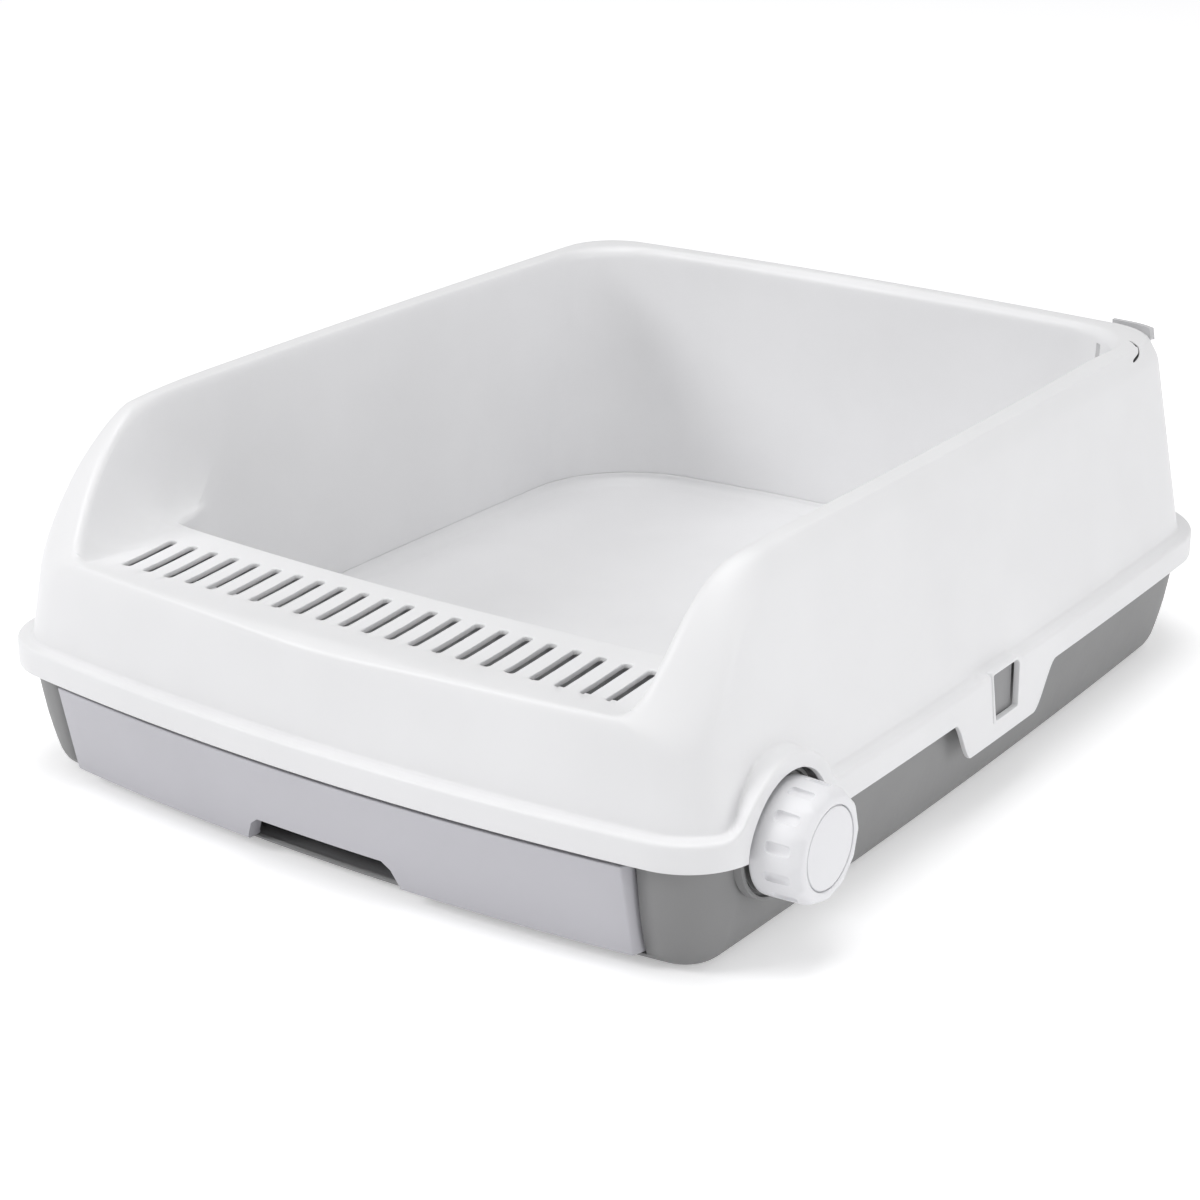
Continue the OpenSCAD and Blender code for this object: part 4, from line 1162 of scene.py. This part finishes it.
# %% [markdown]
# ## Scoop and holder
# The scoop hangs on the hood's back, on a peg of a thin holder whose upper end
# wraps round the corner of the rim as a tab. The holder is a strip that follows
# the hood's wall at an even distance, trimmed with straight cuts. Its clip ends
# in the slot in the back wall.

# %% Holder
HOLDER_TOP, HOLDER_LOW, PRONG_LOW, TAB_LOW = 196.6, 157.0, 177.4, 189.4
HOLDER_GAP, HOLDER_THICK, PEG = 1.5, 3.0, (128.0, 164.0)


def holder_piece():
    places = steps(3.66, 4, 22) + steps(4, 4.34, 10) + [4.34]
    far = HOLDER_GAP + HOLDER_THICK
    corners = ((HOLDER_LOW, HOLDER_GAP), (HOLDER_LOW, far), (HOLDER_TOP, far), (HOLDER_TOP, HOLDER_GAP))
    rows = [[on_wall(hood_at(WALL.inset(-gap), s), hood_at(TOP.inset(-gap), s), z) for z, gap in corners]
            for s in places]
    made = lofted("scoop_hanger", rows, "holder_grey")
    cut(made, box_cutter("top_trim", (60, 166.4), (200, 300), (190.6, 215)))
    cut(made, box_cutter("tab_trim", (192, 232), (150, 300), (150, TAB_LOW)))
    cut(made, box_cutter("side_trim", (150, 230), (150, 300), (150, PRONG_LOW)))
    soften(made, 0.45)
    cut(made, bar_y("peg", PEG[0], PEG[1], 4.0, 268.6, 282.6, "holder_grey", 48), "UNION")
    cut(made, box_cutter("prong", (CLIP_X - 1.5, CLIP_X + 1.5), (clip_wall_y + 0.6, clip_wall_y + 20),
                         (CLIP_Z - 4, CLIP_Z + 4)), "UNION")
    paint(made, "holder_grey")
    finish_mesh(made, 30)
    return made


holder = holder_piece()
print("holder", len(holder.data.polygons), "faces")

# %% [markdown]
# ## The scoop itself
# The scoop is drawn flat round its hanging hole: a blade with a raised rim, a
# handle, the hole and the sifting slots. At the end it is leaned back and moved
# to the peg, inside its mesh, so that the object itself stays at the origin.

# %% Scoop
SCOOP_Y, SCOOP_LEAN = 275.0, math.radians(12.6)
BLADE = [(-12, -62), (12, -62), (44, -84), (44, -150), (-44, -150), (-44, -84)]
BLADE_INSIDE = [(-10, -64.6), (10, -64.6), (41.4, -85.6), (41.4, -160), (-41.4, -160), (-41.4, -85.6)]
HANDLE = [(-13, 16), (-9, 20), (9, 20), (13, 16), (10, -70), (-10, -70)]


def scoop_piece():
    made = prism("scoop_blade", round_corners(BLADE, 4), "Y", 0, 2.4)
    rim = prism("scoop_rim", round_corners(BLADE, 4), "Y", 0, 11)
    cut(rim, prism("scoop_inner", round_corners(BLADE_INSIDE, 3), "Y", -5, 20))
    soften(rim, 0.5)
    cut(made, rim, "UNION")
    handle = prism("scoop_handle", round_corners(HANDLE, 3), "Y", 0, 4)
    soften(handle, 0.8)
    cut(made, handle, "UNION")
    cut(made, bar_y("hang_hole", 0, 0, 5.2, -5, 15, "scoop_grey", 48))
    slot = round_corners([(-3, -142), (3, -142), (3, -90), (-3, -90)], 2.6)
    cut(made, repeated(prism("sift_slot", slot, "Y", -5, 15), ALONG_LINE, 7, (-33, 0, 0), (0.011, 0, 0)))
    at_peg = Matrix.Translation(Vector((PEG[0], SCOOP_Y, PEG[1])) * MM)
    made.data.transform(at_peg @ Matrix.Rotation(SCOOP_LEAN, 4, "X"))
    paint(made, "scoop_grey")
    finish_mesh(made, 30)
    return made


scoop = scoop_piece()
print("scoop", len(scoop.data.polygons), "faces")

# %% [markdown]
# ## Stage and light
# A plain studio: a pale floor, an even white surround, and three broad soft
# lamps. The one high on the left gives the front its gentle gradient, a low one
# on the right lights the side, and one above fills the inside. The floor glows a
# little for the camera, so that it looks white, and still takes the shadow.

# %% Stage and light
WHITE, FLOOR_HALF = (1, 1, 1, 1), 30
FLOOR_GLOW, SKY_LIGHT, LAMP_AIM = 0.36, 0.44, Vector((0, 0, 0.1))


def stage():
    g = Graph(bpy.data.materials.new("stage_floor"))
    matt = g.node("ShaderNodeBsdfDiffuse", {}, {"Color": (0.97, 0.97, 0.98, 1)})
    seen = [g.node("ShaderNodeLightPath", out=name)
            for name in ("Is Camera Ray", "Is Glossy Ray", "Is Transmission Ray")]
    glow = (seen[0] + seen[1] + seen[2]) * FLOOR_GLOW
    lift = g.node("ShaderNodeEmission", {}, {"Color": WHITE, "Strength": glow})
    both = g.node("ShaderNodeAddShader", {}, {0: matt, 1: lift})
    g.node("ShaderNodeOutputMaterial", {}, {"Surface": both})
    mesh = bpy.data.meshes.new("floor")
    corners = [(x * FLOOR_HALF, y * FLOOR_HALF, 0) for x, y in ((-1, -1), (1, -1), (1, 1), (-1, 1))]
    mesh.from_pydata(corners, [], [(0, 1, 2, 3)])
    floor = bpy.data.objects.new("floor", mesh)
    scene.collection.objects.link(floor)
    mesh.materials.append(g.owner)
    w = Graph(bpy.data.worlds.new("surround"))
    scene.world = w.owner
    sky, white = [w.node("ShaderNodeBackground", {}, {"Color": WHITE, "Strength": strength})
                  for strength in (SKY_LIGHT, 1.0)]
    pick = w.node("ShaderNodeMixShader", {}, {0: w.node("ShaderNodeLightPath", out="Is Camera Ray"),
                                              1: sky, 2: white})
    w.node("ShaderNodeOutputWorld", {}, {"Surface": pick})


def soft_lamp(name, at, size, watts):
    lamp = bpy.data.lights.new(name, "AREA")
    lamp.shape = "SQUARE"
    lamp.size = size
    lamp.energy = watts
    made = bpy.data.objects.new(name, lamp)
    scene.collection.objects.link(made)
    made.location = at
    made.rotation_euler = (LAMP_AIM - Vector(at)).to_track_quat("-Z", "Y").to_euler()


stage()
soft_lamp("lamp_left", (-2.2, -3.0, 2.6), 1.5, 60)
soft_lamp("lamp_right", (3.4, 0.4, 0.9), 2.0, 30)
soft_lamp("lamp_top", (0.1, -0.3, 3.2), 1.8, 37)
print("three lamps and a white surround")

# %% [markdown]
# ## Every piece rides on its body
# Each new piece says which packed body carries it, which packed node it stands
# for and which finish it takes. The packed nodes that are right as they are
# only get their material.

# %% Bodies and finishes
CARRIED = [
    (hood, "hood", ["hood"], "hood_white"),
    (window_frames[0], "hood", ["hood"], "hood_white"),
    (window_frames[1], "hood", ["hood"], "hood_white"),
    (pan, "pan", ["litter_pan"], "pan_white"),
    (pan_flange, "pan", ["litter_pan"], "pan_white"),
    (base, "base", ["base_tray"], "base_grey"),
    (knob_ear, "base", ["base_tray"], "base_grey"),
    (left_boss, "base", ["base_tray"], "base_grey"),
    (drawer_face, "drawer", ["drawer_front"], "drawer_grey"),
    (knob, "trough", ["knob"], "knob_white"),
    (knob_cap, "trough", ["knob_cap"], "knob_white"),
    # The dark strip in the rim's groove is painted shade.
    (rim_groove_shade, "hood", [], "foot_rubber"),
    (drawer_box, "drawer", ["drawer_tray"], "drawer_grey"),
    (latches[0], "latch_left", ["latch_left"], "latch_grey"),
    (latches[1], "latch_right", ["latch_right"], "latch_grey"),
    (holder, "hood", ["scoop_holder"], "holder_grey"),
    (scoop, "scoop", ["scoop"], "scoop_grey"),
]
for made, body, nodes, slot in CARRIED:
    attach(made, body)
    if nodes:
        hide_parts(*nodes)
# The trough takes the painted shade that darkens the slots in the ledge.
PLAIN = {"trough": "trough_grey", "drive_spindle": "spindle_grey", "pivot_pin": "spindle_grey",
         "bush_left": "bush_white", "bush_right": "bush_white", "knob_screw": "screw_steel"}
for node_name, node_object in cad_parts.items():
    if node_object.hide_render:
        continue
    for index in range(len(node_object.data.materials)):
        node_object.data.materials[index] = MAT[PLAIN.get(node_name, "foot_rubber")]
shown = [name for name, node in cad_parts.items() if not node.hide_render]
print("pieces", len(CARRIED), "packed nodes shown", shown)

# %% [markdown]
# ## Sizes
# The dressed box has to fill the same space as the packed one.
